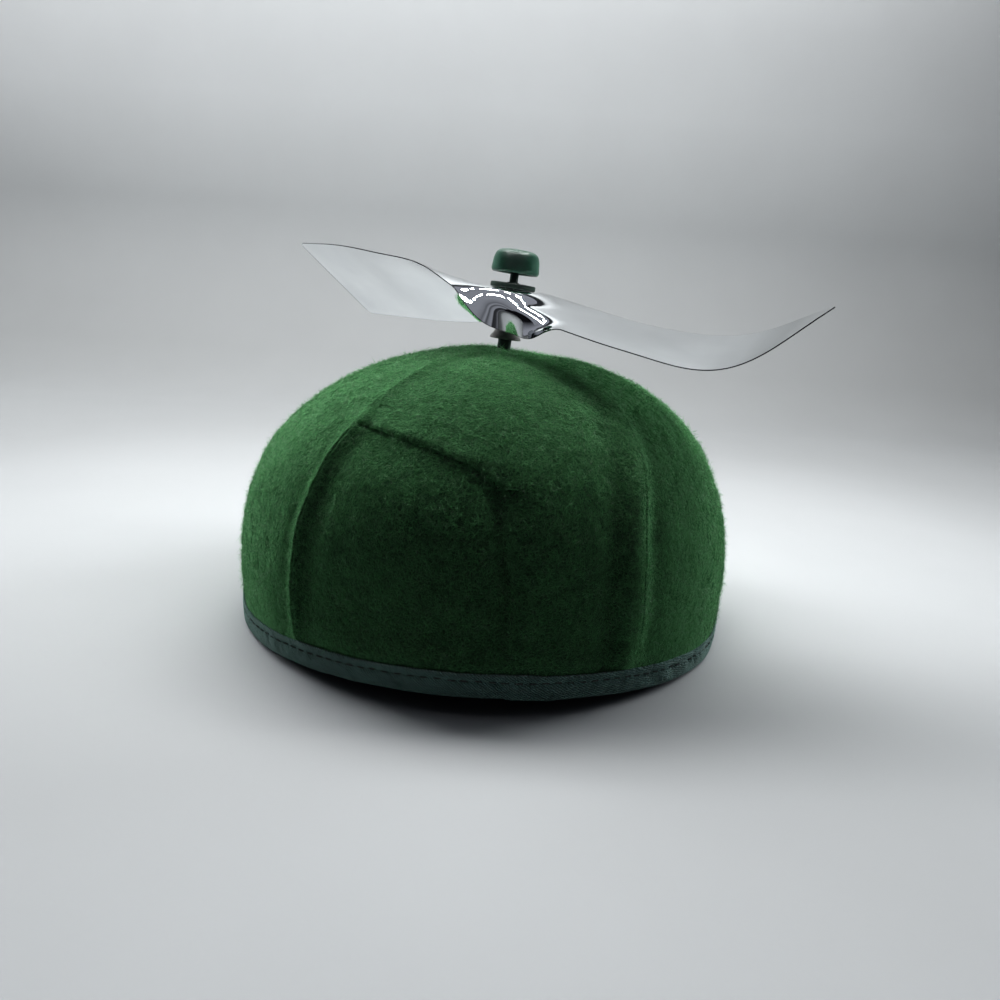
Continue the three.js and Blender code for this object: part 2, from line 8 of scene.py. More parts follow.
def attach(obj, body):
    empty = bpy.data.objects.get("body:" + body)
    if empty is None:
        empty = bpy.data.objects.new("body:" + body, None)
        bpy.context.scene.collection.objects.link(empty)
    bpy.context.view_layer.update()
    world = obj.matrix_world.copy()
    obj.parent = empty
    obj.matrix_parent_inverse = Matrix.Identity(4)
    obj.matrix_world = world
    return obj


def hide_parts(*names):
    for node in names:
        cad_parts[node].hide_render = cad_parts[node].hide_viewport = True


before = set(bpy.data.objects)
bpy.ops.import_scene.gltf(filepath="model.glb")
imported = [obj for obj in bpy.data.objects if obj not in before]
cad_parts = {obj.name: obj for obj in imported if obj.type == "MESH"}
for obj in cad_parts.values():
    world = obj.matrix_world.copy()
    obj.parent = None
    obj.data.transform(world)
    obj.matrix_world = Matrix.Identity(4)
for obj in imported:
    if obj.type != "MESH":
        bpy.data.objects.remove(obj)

# Lengths in the tables and in named sizes are millimetres, and every mesh is built in
# millimetres and scaled to metres when it becomes an object. The front faces -Y, and
# azimuths run from the front towards +X in degrees.
MM = 0.001
CAP_X = -10.1

RIM_RADIUS = 90.2
WIDEST_RADIUS = RIM_RADIUS * 1.0122
CROWN_HEIGHT = 99.3
WIDEST_HEIGHT = CROWN_HEIGHT * 0.2276
CROWN_FULLNESS = 2.24
FELT_THICKNESS = 2.0
FELT_EDGE_HEIGHT = 1.2
FELT_BOUND_HEIGHT = 8.6
DENT_FADE = 12

ARCH_RISE = 5.6
ARCH_MIDDLE = -2
ARCH_HALF_WIDTH = 64
ARCH_FLATNESS = 1.2

POST_LEAN = math.radians(5)
POST_FOOT_X = 2.6
FLAT_TOP_RADIUS = 8
FLAT_TOP_BLEND = 28
TOP_SHIFT_START = 0.55
POST_RADIUS = 2.5
PIN_RADIUS = 1.55
SEAT_GAP = 0.3
RUNNING_GAP = 0.3
COLLAR_BASE = 4.2
COLLAR_TOP = 10.2
LOBED_BASE = 10.5
SHOULDER = 21.4
BLADE_MIDDLE = 21.9
DISC_BASE = 22.4
DISC_TOP = 24.2
KNOB_BASE = 27.8
KNOB_TOP = 36.1
PIN_TOP = 32.7
COLLAR_RADIUS = 5.8
LOBED_RADIUS = 12.5
DISC_RADIUS = 8.3
KNOB_RADIUS = 8.8

BLADE_REACH = 115
BLADE_WIDTH = 47.6
BLADE_THICKNESS = 0.36
BLADE_CORNER = 3
HUB_FLAT_RADIUS = 9.6
HUB_BLEND_RADIUS = 20
LEFT_RUN = 46
RIGHT_RUN = 21.5
BEND_SHARPNESS = 4

# Seams: azimuth, slip round near the top, then for the panel before and the panel after:
# height, place and half width of its ridge, and depth, place and half width of the dip
# beside it
SEAM_WANDER = 0.4
PLAIN_SIDE = (1.1, 0, 1.5, 0.4, 4, 2)
SEAMS = [
    (-37.5, 0, (1.2, 0.4, 1.6, 0.5, 5.0, 3.0), (1.0, 0, 1.2, 0.9, 4.8, 4.0)),
    (32.5, 10, (1.5, 3.4, 2.9, 1.2, 10.5, 4.0), (0.3, 0, 1.4, 0.3, 5.0, 3.0)),
] + [(azimuth, 0, PLAIN_SIDE, PLAIN_SIDE) for azimuth in (90.5, 148.5, 206.5, 264.5)]
SEAM_RIDGE = 1.2
SEAM_RIDGE_REACH = 3.2
SEAM_SOFTNESS = 0.8
SEAM_SOFT_START = 0.66
SEAM_SOFT_END = 0.82

# Dents: azimuth, height, half width in degrees, half height, depth
DENTS = [
    (-4, 33.8, 26, 23.8, 2.6),
    (23, 29.8, 8, 25.8, 1.4),
    (-27, 23.8, 10, 15.9, 1.0),
    (4.6, 45.7, 3.4, 20.9, 2.0),
    (174, 29.8, 30, 25.8, 1.6),
]
CREASE = [(-37.5, 77.26), (-15.2, 73.38), (-3.2, 69.51), (4.6, 64.15)]
CREASE_FIRST = CREASE[0][0]
CREASE_LAST = CREASE[-1][0]
CREASE_HOLLOW = 1.3
CREASE_HOLLOW_REACH = 7
CREASE_FADE = 7

# Felt's unevenness: depth and size of its lumps
FELT_LUMPS = [(0.35, 16), (0.2, 6.5), (0.1, 2.6), (0.05, 1.2)]
FINE_STEP = 4

STITCHES = 146
STITCH_HEIGHT = 5.45
STITCH_OFF = 0.62
STITCH_RADIUS = 0.24
THIRDS = (math.pi / 2, math.pi * 7 / 6, math.pi * 11 / 6)

# Strip of the propeller: share of its reach, lift in shares of the reach, pitch in degrees
# and bulge in shares of the width
STRIP = [
    (-1, 0.0155, -37.2, 0),
    (-0.72, 0.0077, -35.8, 0.002),
    (-0.45, -0.0088, -31.0, -0.013),
    (-0.2, -0.0167, -21.8, 0.044),
    (0, -0.024, 3.7, 0.09),
    (0.2, -0.064, 7.0, 0.012),
    (0.45, -0.1184, 9.0, 0.006),
    (0.72, -0.1375, 12.0, 0),
    (1, 0.0007, 1.6, 0),
]

# Lip bent down along the strip's near edge beside the hub: the bend, where it begins and ends
# across the strip in half widths, and along it in shares of the reach
LIP_BEND = math.radians(100)
LIP_INNER = -0.5
LIP_OUTER = -0.82
LIP_START = -0.075
LIP_FULL = 0.07
LIP_FADE = 0.08
LIP_END = 0.27
LIP_STEPS = 24
LOBES = 6

# Stage: heights and reaches in millimetres; camera in metres and degrees
LAMP_HEIGHT = 430
LAMP_GLOW = 60
BACKDROP_REACH = 1900
SWEEP_REACH = 1500
CAMERA_PLACE = (-0.0052, -0.286, 0.114)
CAMERA_LENS = 27.036
CAMERA_PITCH = math.radians(14.2)
CAMERA_ROLL = math.radians(3.65)

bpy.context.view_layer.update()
rng = np.random.default_rng(7)


# Numbers
def smoothstep(start, end, value):
    t = np.clip((np.asarray(value, float) - start) / (end - start), 0, 1)
    return t * t * (3 - 2 * t)


def window(start, full, fade, end, value):
    """One between full and fade, nothing before start and after end."""
    return smoothstep(start, full, value) * (1 - smoothstep(fade, end, value))


def bell(value):
    return np.exp(-np.asarray(value, float) ** 2)


def turn(azimuth):
    return (np.asarray(azimuth, float) + 180) % 360 - 180


def curve_through(table, column, at):
    table = np.array(table, float)
    place = table[:, 0]
    level = table[:, column]
    low = np.maximum(np.arange(len(place)) - 1, 0)
    high = np.minimum(np.arange(len(place)) + 1, len(place) - 1)
    slope = (level[high] - level[low]) / (place[high] - place[low])
    at = np.asarray(at, float)
    i = np.clip(np.searchsorted(place, at) - 1, 0, len(place) - 2)
    span = place[i + 1] - place[i]
    t = (at - place[i]) / span
    return (
        (1 + 2 * t) * (1 - t) ** 2 * level[i]
        + t * (1 - t) ** 2 * span * slope[i]
        + t * t * (3 - 2 * t) * level[i + 1]
        + t * t * (t - 1) * span * slope[i + 1]
    )


def lattice(ix, iy, iz, seed):
    n = (ix * 374761393 + iy * 668265263 + iz * 2147483647 + seed * 1274126177) & 0xFFFFFFFF
    n = ((n ^ (n >> 13)) * 1103515245) & 0xFFFFFFFF
    n = ((n ^ (n >> 16)) * 2246822519) & 0xFFFFFFFF
    return ((n ^ (n >> 15)) & 0xFFFFFF) / float(0xFFFFFF) * 2 - 1


def noise(points, scale, seed=0):
    """Smooth noise from -1 to 1 whose lumps are about scale across."""
    p = np.asarray(points, float) / scale
    base = np.floor(p).astype(np.int64)
    f = p - base
    f = f * f * (3 - 2 * f)
    total = 0
    for step in np.ndindex(2, 2, 2):
        weight = np.prod(np.where(step, f, 1 - f), axis=-1)
        total = total + weight * lattice(*np.moveaxis(base + step, -1, 0), seed)
    return total


# Crown surface
def seam_azimuth(index, height):
    azimuth, slip = SEAMS[index % 6][:2]
    height = np.asarray(height, float)
    spots = np.stack([height, 0 * height + 31 * (index % 6), 0 * height], -1)
    wander = SEAM_WANDER * noise(spots, 15, 21)
    turned = azimuth + (360 if index >= 6 else 0)
    return turned + wander + slip * smoothstep(0.4, 0.98, height / CROWN_HEIGHT)


def crown_point(azimuth, height, radius):
    azimuth, height, radius = np.broadcast_arrays(azimuth, height, radius)
    side = turn(azimuth)
    out = np.zeros(side.shape)
    for index in range(6):
        across = np.radians(turn(azimuth - seam_azimuth(index, height))) * radius
        out += SEAM_RIDGE * bell(across / SEAM_RIDGE_REACH) * smoothstep(4, 22, radius)
    for at, up, wide, tall, depth in DENTS:
        out -= depth * bell(turn(azimuth - at) / wide) * bell((height - up) / tall)
    below = crease_height(side) - height
    reach = window(CREASE_FIRST, CREASE_FIRST + CREASE_FADE,
                   CREASE_LAST, CREASE_LAST + CREASE_FADE, side)
    out -= CREASE_HOLLOW * reach * bell(below / CREASE_HOLLOW_REACH - 0.35) * (below > 0)
    r = radius + out * smoothstep(FELT_BOUND_HEIGHT, FELT_BOUND_HEIGHT + DENT_FADE, height)
    share = height / CROWN_HEIGHT
    x = POST_FOOT_X * smoothstep(TOP_SHIFT_START, 1, share) + r * np.sin(np.radians(azimuth))
    y = -r * np.cos(np.radians(azimuth))
    settle = 1 - smoothstep(FLAT_TOP_RADIUS, FLAT_TOP_BLEND, np.hypot(x - POST_FOOT_X, y))
    z = height + arch_rise(azimuth) * (1 - share) ** 2
    z = z - (x - POST_FOOT_X) * math.tan(POST_LEAN) * settle
    return np.stack([x, y, z], -1)


def crease_height(azimuth):
    return curve_through(CREASE, 1, np.clip(azimuth, CREASE_FIRST, CREASE_LAST))


def arch_rise(azimuth):
    t = np.clip(np.abs(turn(np.asarray(azimuth, float) - ARCH_MIDDLE)) / ARCH_HALF_WIDTH, 0, 1)
    return ARCH_RISE * np.clip(np.cos(t * math.pi / 2), 0, 1) ** ARCH_FLATNESS


def rim_rise(azimuth):
    return arch_rise(azimuth) * (1 - FELT_EDGE_HEIGHT / CROWN_HEIGHT) ** 2


def plain_radius(height):
    height = np.asarray(height, float)
    low = np.clip(height / WIDEST_HEIGHT, 0, 1)
    high = np.clip((height - WIDEST_HEIGHT) / (CROWN_HEIGHT - WIDEST_HEIGHT), 0, 1)
    under = RIM_RADIUS + (WIDEST_RADIUS - RIM_RADIUS) * (1 - (1 - low) ** 2)
    over = WIDEST_RADIUS * (1 - high**CROWN_FULLNESS) ** (1 / CROWN_FULLNESS)
    return np.where(height < WIDEST_HEIGHT, under, over)


def profile_rows(count):
    """Heights and radii evenly spaced along the crown's section, from its edge to its hole."""
    angle = np.linspace(0, math.pi / 2, 4000)
    power = 2 / CROWN_FULLNESS
    high = WIDEST_HEIGHT + (CROWN_HEIGHT - WIDEST_HEIGHT) * np.sin(angle) ** power
    wide = WIDEST_RADIUS * np.cos(angle) ** power
    low = np.linspace(FELT_EDGE_HEIGHT, WIDEST_HEIGHT, 200, endpoint=False)
    height = np.concatenate([low, high])
    radius = np.concatenate([plain_radius(low), wide])
    keep = radius >= POST_RADIUS + SEAT_GAP
    height = np.append(height[keep], CROWN_HEIGHT)
    radius = np.append(radius[keep], POST_RADIUS + SEAT_GAP)
    length = np.concatenate([[0], np.cumsum(np.hypot(np.diff(height), np.diff(radius)))])
    at = np.linspace(0, length[-1], count)
    return np.interp(at, length, height), np.interp(at, length, radius)


def grid_normals(grid):
    along = np.gradient(grid, axis=1)
    up = np.gradient(grid, axis=0)
    normal = np.cross(along, up)
    return normal / np.linalg.norm(normal, axis=-1, keepdims=True)


def smooth_normals(grid, times):
    normal = grid_normals(grid)
    for _ in range(times):
        padded = np.pad(normal, ((1, 1), (1, 1), (0, 0)), mode="edge")
        normal = padded[:-2, 1:-1] + padded[2:, 1:-1] + padded[1:-1, :-2] + padded[1:-1, 2:]
        normal /= np.linalg.norm(normal, axis=-1, keepdims=True)
    return normal


def panel_surface(index, columns, rows):
    """Plain grid of a panel's outer face, with the seams' distances in millimetres."""
    height, radius = profile_rows(rows)
    share = np.linspace(0, 1, columns)
    share = share - 0.68 * np.sin(2 * math.pi * share) / (2 * math.pi)
    start = seam_azimuth(index, height)[:, None]
    end = seam_azimuth(index + 1, height)[:, None]
    inset = np.degrees(0.04 / radius)[:, None]
    azimuth = start + inset + share[None, :] * (end - start - 2 * inset)
    grid = crown_point(azimuth, height[:, None], radius[:, None])
    from_start = np.radians(azimuth - start) * radius[:, None]
    to_end = np.radians(end - azimuth) * radius[:, None]
    return grid, azimuth, height[:, None] + 0 * azimuth, from_start, to_end


def felt_relief(index, grid, azimuth, height, from_start, to_end):
    """How far the felt stands out from the plain crown, and its painted tone: seam ridges
    lighter, partly wear and partly painted highlight; painted highlight above the crease and on
    the two side panels; painted shade in the seam dips, the seam line, the crease, the fold and
    the lower front.
    """
    out = sum(deep * noise(grid, lump, seed) for seed, (deep, lump) in enumerate(FELT_LUMPS, 1))
    tone = 0 * out
    softer = smoothstep(SEAM_SOFT_START, SEAM_SOFT_END, height / CROWN_HEIGHT)
    softer = 1 - SEAM_SOFTNESS * softer
    for distance, side in ((from_start, SEAMS[index][3]), (to_end, SEAMS[(index + 1) % 6][2])):
        tall, crest, wide, dip, place, reach = side
        wander = softer * (1 + 0.3 * noise(grid, 22, 5))
        ridge = bell((distance - crest) / wide)
        hollow = dip * bell((distance - place) / reach)
        out += wander * (tall * ridge - hollow)
        out -= (0.1 + 0.18 * softer) * bell(distance / 0.32)
        # Seam ridges painted lighter, partly wear and partly painted highlight; the dips beside
        # them and the seam line painted darker as painted shade
        tone += wander * (0.45 * min(tall, 1.4) * ridge - 0.4 * hollow)
        tone -= 0.5 * wander * bell(distance / 0.4)
    # Painted light: the two side panels are painted lighter, as if lit from the sides
    if index in (1, 5):
        tone += 0.25
    if index == 0:
        side = turn(azimuth)
        # Painted shade over the lower middle of the front panel
        tone -= 0.55 * bell((side + 1) / 34) * (1 - smoothstep(30, 62, height))
        across = height - (crease_height(side) + 0.5 * noise(grid, 9, 6))
        reach = window(CREASE_FIRST - 1, CREASE_FIRST + 2, -8, 3, side)
        out -= 0.7 * reach * bell(across / 0.7)
        out += 0.45 * reach * bell((across - 2.4) / 1.8)
        # Painted shade in the crease and painted highlight just above it
        tone -= 0.5 * reach * bell((across + 0.3) / 0.8)
        tone += 0.35 * reach * bell((across - 2.2) / 1.6)
        fold = side - (2.4 + 3.4 * smoothstep(66, 30, height))
        tall = window(10, 26, 60, 68, height)
        out -= 1.0 * tall * bell(fold / 1.2)
        out += 0.4 * tall * bell((fold - 2.6) / 1.8)
        # Painted shade in the fold
        tone -= 0.5 * tall * bell(fold / 2.2)
        weak = height - (50.5 - 0.004 * (side + 3) ** 2)
        out -= 0.6 * bell(weak / 1.2) * window(-19, -13, 0, 5, side)
    shown = smoothstep(FELT_BOUND_HEIGHT - 1.5, FELT_BOUND_HEIGHT + 4, height)
    return out * shown, np.clip(tone, -1, 1) * shown


# Meshes
def make_object(name, vertices, faces, material, body, sharp=None, tone=None):
    """Vertices in millimetres with the crown's middle at the origin; faces as a list of
    arrays of quads or triangles; tone as a number from 0 to 1 at each vertex."""
    vertices = np.asarray(vertices, float).reshape(-1, 3) + (CAP_X, 0, 0)
    mesh = bpy.data.meshes.new(name)
    mesh.vertices.add(len(vertices))
    mesh.vertices.foreach_set("co", (vertices * MM).astype(np.float32).ravel())
    loops = np.concatenate([f.ravel() for f in faces]).astype(np.int32)
    sizes = np.concatenate([np.full(len(f), f.shape[1]) for f in faces]).astype(np.int32)
    mesh.loops.add(len(loops))
    mesh.loops.foreach_set("vertex_index", loops)
    mesh.polygons.add(len(sizes))
    starts = np.concatenate([[0], np.cumsum(sizes)[:-1]]).astype(np.int32)
    mesh.polygons.foreach_set("loop_start", starts)
    mesh.update(calc_edges=True)
    mesh.validate()
    if tone is not None:
        mesh.attributes.new("tone", "FLOAT", "POINT").data.foreach_set(
            "value", np.asarray(tone, np.float32).ravel())
    mesh.shade_smooth()
    if sharp is not None:
        mesh.set_sharp_from_angle(angle=math.radians(sharp))
    piece = bpy.data.objects.new(name, mesh)
    bpy.context.scene.collection.objects.link(piece)
    mesh.materials.append(material)
    if body:
        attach(piece, body)
    return piece


def grid_faces(rows, columns, start=0, flip=False, wrap_rows=False, wrap_columns=False):
    i = np.arange(rows if wrap_rows else rows - 1)[:, None]
    j = np.arange(columns if wrap_columns else columns - 1)[None, :]
    ni = (i + 1) % rows
    nj = (j + 1) % columns
    quads = np.stack(np.broadcast_arrays(
        i * columns + j, i * columns + nj, ni * columns + nj, ni * columns + j), -1)
    quads = quads.reshape(-1, 4) + start
    return quads[:, ::-1] if flip else quads


def shell_object(name, outer, inner, step, material, body, tone):
    """A closed shell between a fine outer grid and an inner one with every step-th line."""
    fine = np.arange(outer.size // 3).reshape(outer.shape[:2])
    coarse = fine.size + np.arange(inner.size // 3).reshape(inner.shape[:2])
    faces = [grid_faces(*fine.shape), grid_faces(*coarse.shape, fine.size, flip=True)]
    edges = [
        (fine[0], coarse[0], True),
        (fine[-1], coarse[-1], False),
        (fine[:, 0], coarse[:, 0], False),
        (fine[:, -1], coarse[:, -1], True),
    ]
    rim = []
    half = step // 2
    for near, far, flip in edges:
        for k in range(len(far) - 1):
            fan = [(far[k], near[k * step + i], near[k * step + i + 1]) for i in range(half)]
            fan.append((far[k], near[k * step + half], far[k + 1]))
            fan += [
                (far[k + 1], near[k * step + i], near[k * step + i + 1])
                for i in range(half, step)
            ]
            rim += [tri[::-1] for tri in fan] if flip else fan
    faces.append(np.array(rim))
    vertices = np.concatenate([outer.reshape(-1, 3), inner.reshape(-1, 3)])
    tone = np.concatenate([tone.ravel(), np.full(coarse.size, 0.5)])
    return make_object(name, vertices, faces, material, body, sharp=60, tone=tone)


def on_post(along, out, angle):
    x = out * np.cos(angle)
    return np.stack(np.broadcast_arrays(
        POST_FOOT_X + x * math.cos(POST_LEAN) + along * math.sin(POST_LEAN),
        out * np.sin(angle),
        CROWN_HEIGHT - x * math.sin(POST_LEAN) + along * math.cos(POST_LEAN),
    ), -1)


POST_AXIS = np.array([math.sin(POST_LEAN), 0, math.cos(POST_LEAN)])
HUB = on_post(BLADE_MIDDLE, 0, 0.0)


def from_hub(points):
    """How far along the post from the hub and how far off its axis each point lies."""
    away = points - HUB
    along = away @ POST_AXIS
    return along, np.linalg.norm(away - along[..., None] * POST_AXIS, axis=-1)


def cap_faces(rows, around):
    """Fans that close both ends of a tube at the two points after its last ring."""
    k = np.arange(around)
    nk = (k + 1) % around
    last = rows * around
    top = last - around
    return [np.stack([np.full(around, last), nk, k], -1),
            np.stack([np.full(around, last + 1), top + k, top + nk], -1)]


def rounded(profile, radius, steps=4):
    """A profile of (along, out) corners with each inside corner rounded."""
    points = [np.array(profile[0], float)]
    for before, corner, after in zip(profile, profile[1:], profile[2:]):
        before, corner, after = (np.array(p, float) for p in (before, corner, after))
        back = before - corner
        ahead = after - corner
        reach = min(radius, 0.45 * np.linalg.norm(back), 0.45 * np.linalg.norm(ahead))
        a = corner + back / np.linalg.norm(back) * reach
        b = corner + ahead / np.linalg.norm(ahead) * reach
        for t in np.linspace(0, 1, steps):
            points.append((1 - t) ** 2 * a + 2 * t * (1 - t) * corner + t * t * b)
    points.append(np.array(profile[-1], float))
    return np.array(points)


def turned_object(name, profile, around, material, body, ring=False, shape=None):
    """A round piece on the post from a profile of (along, out); a ring's profile closes."""
    angle = np.linspace(0, 2 * math.pi, around, endpoint=False)[None, :]
    along = profile[:, 0][:, None] + 0 * angle
    out = profile[:, 1][:, None] + 0 * angle
    if shape:
        along, out = shape(along, out, angle)
    if ring:
        grid = on_post(along, out, angle)
        faces = [grid_faces(len(profile), around, wrap_rows=True, wrap_columns=True, flip=True)]
        return make_object(name, grid, faces, material, body, sharp=38)
    grid = on_post(along[1:-1], out[1:-1], angle)
    ends = on_post(profile[[0, -1], 0], np.zeros(2), 0.0)
    rows = len(profile) - 2
    faces = [grid_faces(rows, around, wrap_columns=True), *cap_faces(rows, around)]
    vertices = np.concatenate([grid.reshape(-1, 3), ends])
    return make_object(name, vertices, faces, material, body, sharp=38)


# Materials
def set_stops(ramp, stops):
    """Stops of a colour ramp as (position, colour or grey)."""
    elements = ramp.color_ramp.elements
    while len(elements) < len(stops):
        elements.new(1)
    for element, (position, colour) in zip(elements, stops):
        element.position = position
        if isinstance(colour, (int, float)):
            colour = (colour, colour, colour)
        element.color = (*colour, 1)


class Look:
    """A material under construction: nodes are added by type and wired by name."""

    def __init__(self, name):
        self.material = bpy.data.materials.new(name)
        self.material.use_nodes = True
        self.tree = self.material.node_tree
        self.shader = self.tree.nodes["Principled BSDF"]
        self.place = self.add("ShaderNodeTexCoord").outputs["Object"]

    def put(self, socket, value):
        if isinstance(value, bpy.types.NodeSocket):
            self.tree.links.new(value, socket)
        else:
            socket.default_value = value

    def add(self, kind, inputs=None, **settings):
        node = self.tree.nodes.new(kind)
        for key, value in settings.items():
            setattr(node, key, value)
        for key, value in (inputs or {}).items():
            self.put(node.inputs[key], value)
        return node

    def set(self, **values):
        for key, value in values.items():
            self.put(self.shader.inputs[key.replace("_", " ")], value)

    def noise(self, scale, detail=3, rough=0.55, distortion=0, place=None):
        return self.add("ShaderNodeTexNoise", {
            "Vector": place or self.place, "Scale": scale, "Detail": detail,
            "Roughness": rough, "Distortion": distortion}).outputs["Fac"]

    def ramp(self, factor, *stops):
        node = self.add("ShaderNodeValToRGB", {"Fac": factor})
        set_stops(node, stops)
        return node.outputs["Color"]

    def mix(self, factor, a, b, blend="MIX"):
        node = self.add("ShaderNodeMix", data_type="RGBA", blend_type=blend)
        for socket, value in ((0, factor), (6, a), (7, b)):
            self.put(node.inputs[socket], (*value, 1) if isinstance(value, tuple) else value)
        return node.outputs[2]

    def math(self, operation, a, b=0.0):
        return self.add("ShaderNodeMath", {0: a, 1: b}, operation=operation).outputs[0]

    def bump(self, height, distance, strength=1.0, under=None):
        inputs = {"Height": height, "Distance": distance, "Strength": strength}
        if under:
            inputs["Normal"] = under
        return self.add("ShaderNodeBump", inputs).outputs["Normal"]


def felt_look():
    look = Look("wool_felt")
    patches = look.noise(38, 3, 0.6)
    clumps = look.noise(300, 4, 0.65, 0.6)
    fibres = look.noise(1100, 5, 0.75, 2.6)
    wavy = look.add("ShaderNodeTexNoise", {
        "Vector": look.place, "Scale": 420, "Detail": 2}).outputs["Color"]
    curls = []
    for scale, shift in ((520, 0.0), (700, 0.37)):
        warped = look.add("ShaderNodeMix", {
            0: 0.003, 4: look.place, 5: wavy}, data_type="VECTOR").outputs[1]
        moved = look.add("ShaderNodeMapping", {
            "Vector": warped, "Location": (shift, shift, 0.0)}).outputs["Vector"]
        edge = look.add("ShaderNodeTexVoronoi", {
            "Vector": moved, "Scale": scale}, feature="DISTANCE_TO_EDGE").outputs["Distance"]
        curls.append(look.ramp(edge, (0.0, 1.0), (0.13, 0.0)))
    lines = look.math("MAXIMUM", *curls)
    broken = look.math("MULTIPLY", lines, look.ramp(clumps, (0.4, 0.15), (0.6, 1.0)))
    ground = look.ramp(patches, (0.3, (0.0012, 0.020, 0.006)), (0.7, (0.0035, 0.035, 0.011)))
    shown = look.ramp(clumps, (0.38, 0.0), (0.66, 1.0))
    ground = look.mix(shown, ground, (0.011, 0.064, 0.019))
    shown = look.ramp(fibres, (0.5, 0.0), (0.66, 0.9))
    tone = look.mix(shown, ground, (0.052, 0.170, 0.066))
    tone = look.mix(look.math("MULTIPLY", broken, 0.8), tone, (0.100, 0.27, 0.115))
    # Painted light and shade from the felt's tone attribute: lighter where it is painted as
    # highlight, darker where it is painted as shade
    tone_level = look.add("ShaderNodeAttribute", attribute_name="tone").outputs["Fac"]
    tone = look.mix(look.ramp(tone_level, (0.5, 0.0), (1.0, 0.55)), tone, (0.13, 0.285, 0.14))
    tone = look.mix(look.ramp(tone_level, (0.0, 0.8), (0.5, 0.0)), tone, (0.001, 0.015, 0.004))
    look.set(Base_Color=tone, Roughness=0.95, Sheen_Weight=1.0, Sheen_Roughness=0.42,
             Sheen_Tint=(0.42, 1.0, 0.47, 1), Specular_IOR_Level=0.1)
    nap = look.bump(clumps, 0.0014, 0.6)
    nap = look.bump(fibres, 0.0008, 0.9, nap)
    look.set(Normal=look.bump(broken, 0.0005, 0.6, nap))
    return look.material


def fibre_look(name, dark, light):
    look = Look(name)
    look.set(Base_Color=look.ramp(look.noise(180, 2), (0.3, dark), (0.7, light)), Roughness=0.8,
             Sheen_Weight=0.6, Sheen_Roughness=0.5, Sheen_Tint=(0.47, 1.0, 0.52, 1),
             Specular_IOR_Level=0.2)
    return look.material


def ribbon_look():
    look = Look("satin_ribbon")
    turned = look.add("ShaderNodeMapping", {
        "Vector": look.place, "Rotation": (0.0, 0.9, 0.35)}).outputs["Vector"]
    twill = look.add("ShaderNodeTexWave", {
        "Vector": turned, "Scale": 520, "Distortion": 4.5, "Detail": 3,
        "Detail Scale": 1.6}, wave_type="BANDS", bands_direction="X").outputs["Fac"]
    tone_level = look.noise(120, 4, 0.6)
    crinkle = look.noise(430, 3, 0.6, 0.8)
    tone = look.ramp(tone_level, (0.3, (0.030, 0.083, 0.070)), (0.7, (0.070, 0.158, 0.136)))
    lit = look.math("MULTIPLY", look.ramp(twill, (0.35, 0.0), (0.85, 0.9)),
                    look.ramp(crinkle, (0.35, 0.25), (0.65, 1.0)))
    tone = look.mix(lit, tone, (0.165, 0.290, 0.258))
    look.set(Base_Color=tone, Roughness=look.ramp(tone_level, (0.2, 0.5), (0.8, 0.68)),
             Sheen_Weight=0.5, Sheen_Roughness=0.35, Sheen_Tint=(0.50, 0.72, 0.64, 1),
             Specular_IOR_Level=0.35)
    creased = look.bump(crinkle, 0.0016, 0.8, look.bump(tone_level, 0.001, 0.7))
    look.set(Normal=look.bump(twill, 0.0005, 0.85, creased))
    return look.material


def thread_look():
    look = Look("sewing_thread")
    twist = look.noise(2600, 2, 0.5)
    tone = look.ramp(twist, (0.3, (0.006, 0.018, 0.014)), (0.7, (0.02, 0.045, 0.036)))
    look.set(Base_Color=tone, Roughness=0.6, Normal=look.bump(twist, 0.0001, 0.6))
    return look.material


def plastic_look(name, dark, light, roughness, coat=0.0):
    look = Look(name)
    flow = look.noise(140, 4, 0.6, 0.8)
    grain = look.noise(2400, 3, 0.6)
    look.set(Base_Color=look.ramp(flow, (0.3, dark), (0.7, light)),
             Roughness=look.ramp(grain, (0.3, roughness - 0.06), (0.7, roughness + 0.08)),
             Coat_Weight=coat, Coat_Roughness=0.25,
             Normal=look.bump(grain, 0.00006, 0.5, look.bump(flow, 0.0002, 0.4)))
    return look.material


def metal_look():
    look = Look("pressed_metal")
    brushed = look.noise(900, 5, 0.7, 0.4)
    tone = look.ramp(brushed, (0.3, (0.30, 0.31, 0.32)), (0.7, (0.46, 0.47, 0.48)))
    look.set(Base_Color=tone, Metallic=1.0, Normal=look.bump(brushed, 0.00005, 0.5),
             Roughness=look.ramp(brushed, (0.3, 0.22), (0.7, 0.4)))
    return look.material


def mirror_look():
    look = Look("mirror_sheet")
    smear = look.noise(24, 3, 0.5, 0.5)
    bright = look.ramp(smear, (0.3, (0.60, 0.62, 0.63)), (0.7, (0.72, 0.735, 0.74)))
    edge = look.add("ShaderNodeAttribute", attribute_name="tone").outputs["Fac"]
    rim = look.ramp(edge, (0.35, 0.0), (0.8, 1.0))
    look.set(Base_Color=look.mix(rim, bright, (0.12, 0.125, 0.13)),
             Metallic=1.0, Roughness=look.ramp(smear, (0.35, 0.015), (0.75, 0.05)),
             Normal=look.bump(look.noise(45, 2, 0.5), 0.0002, 0.25))
    return look.material


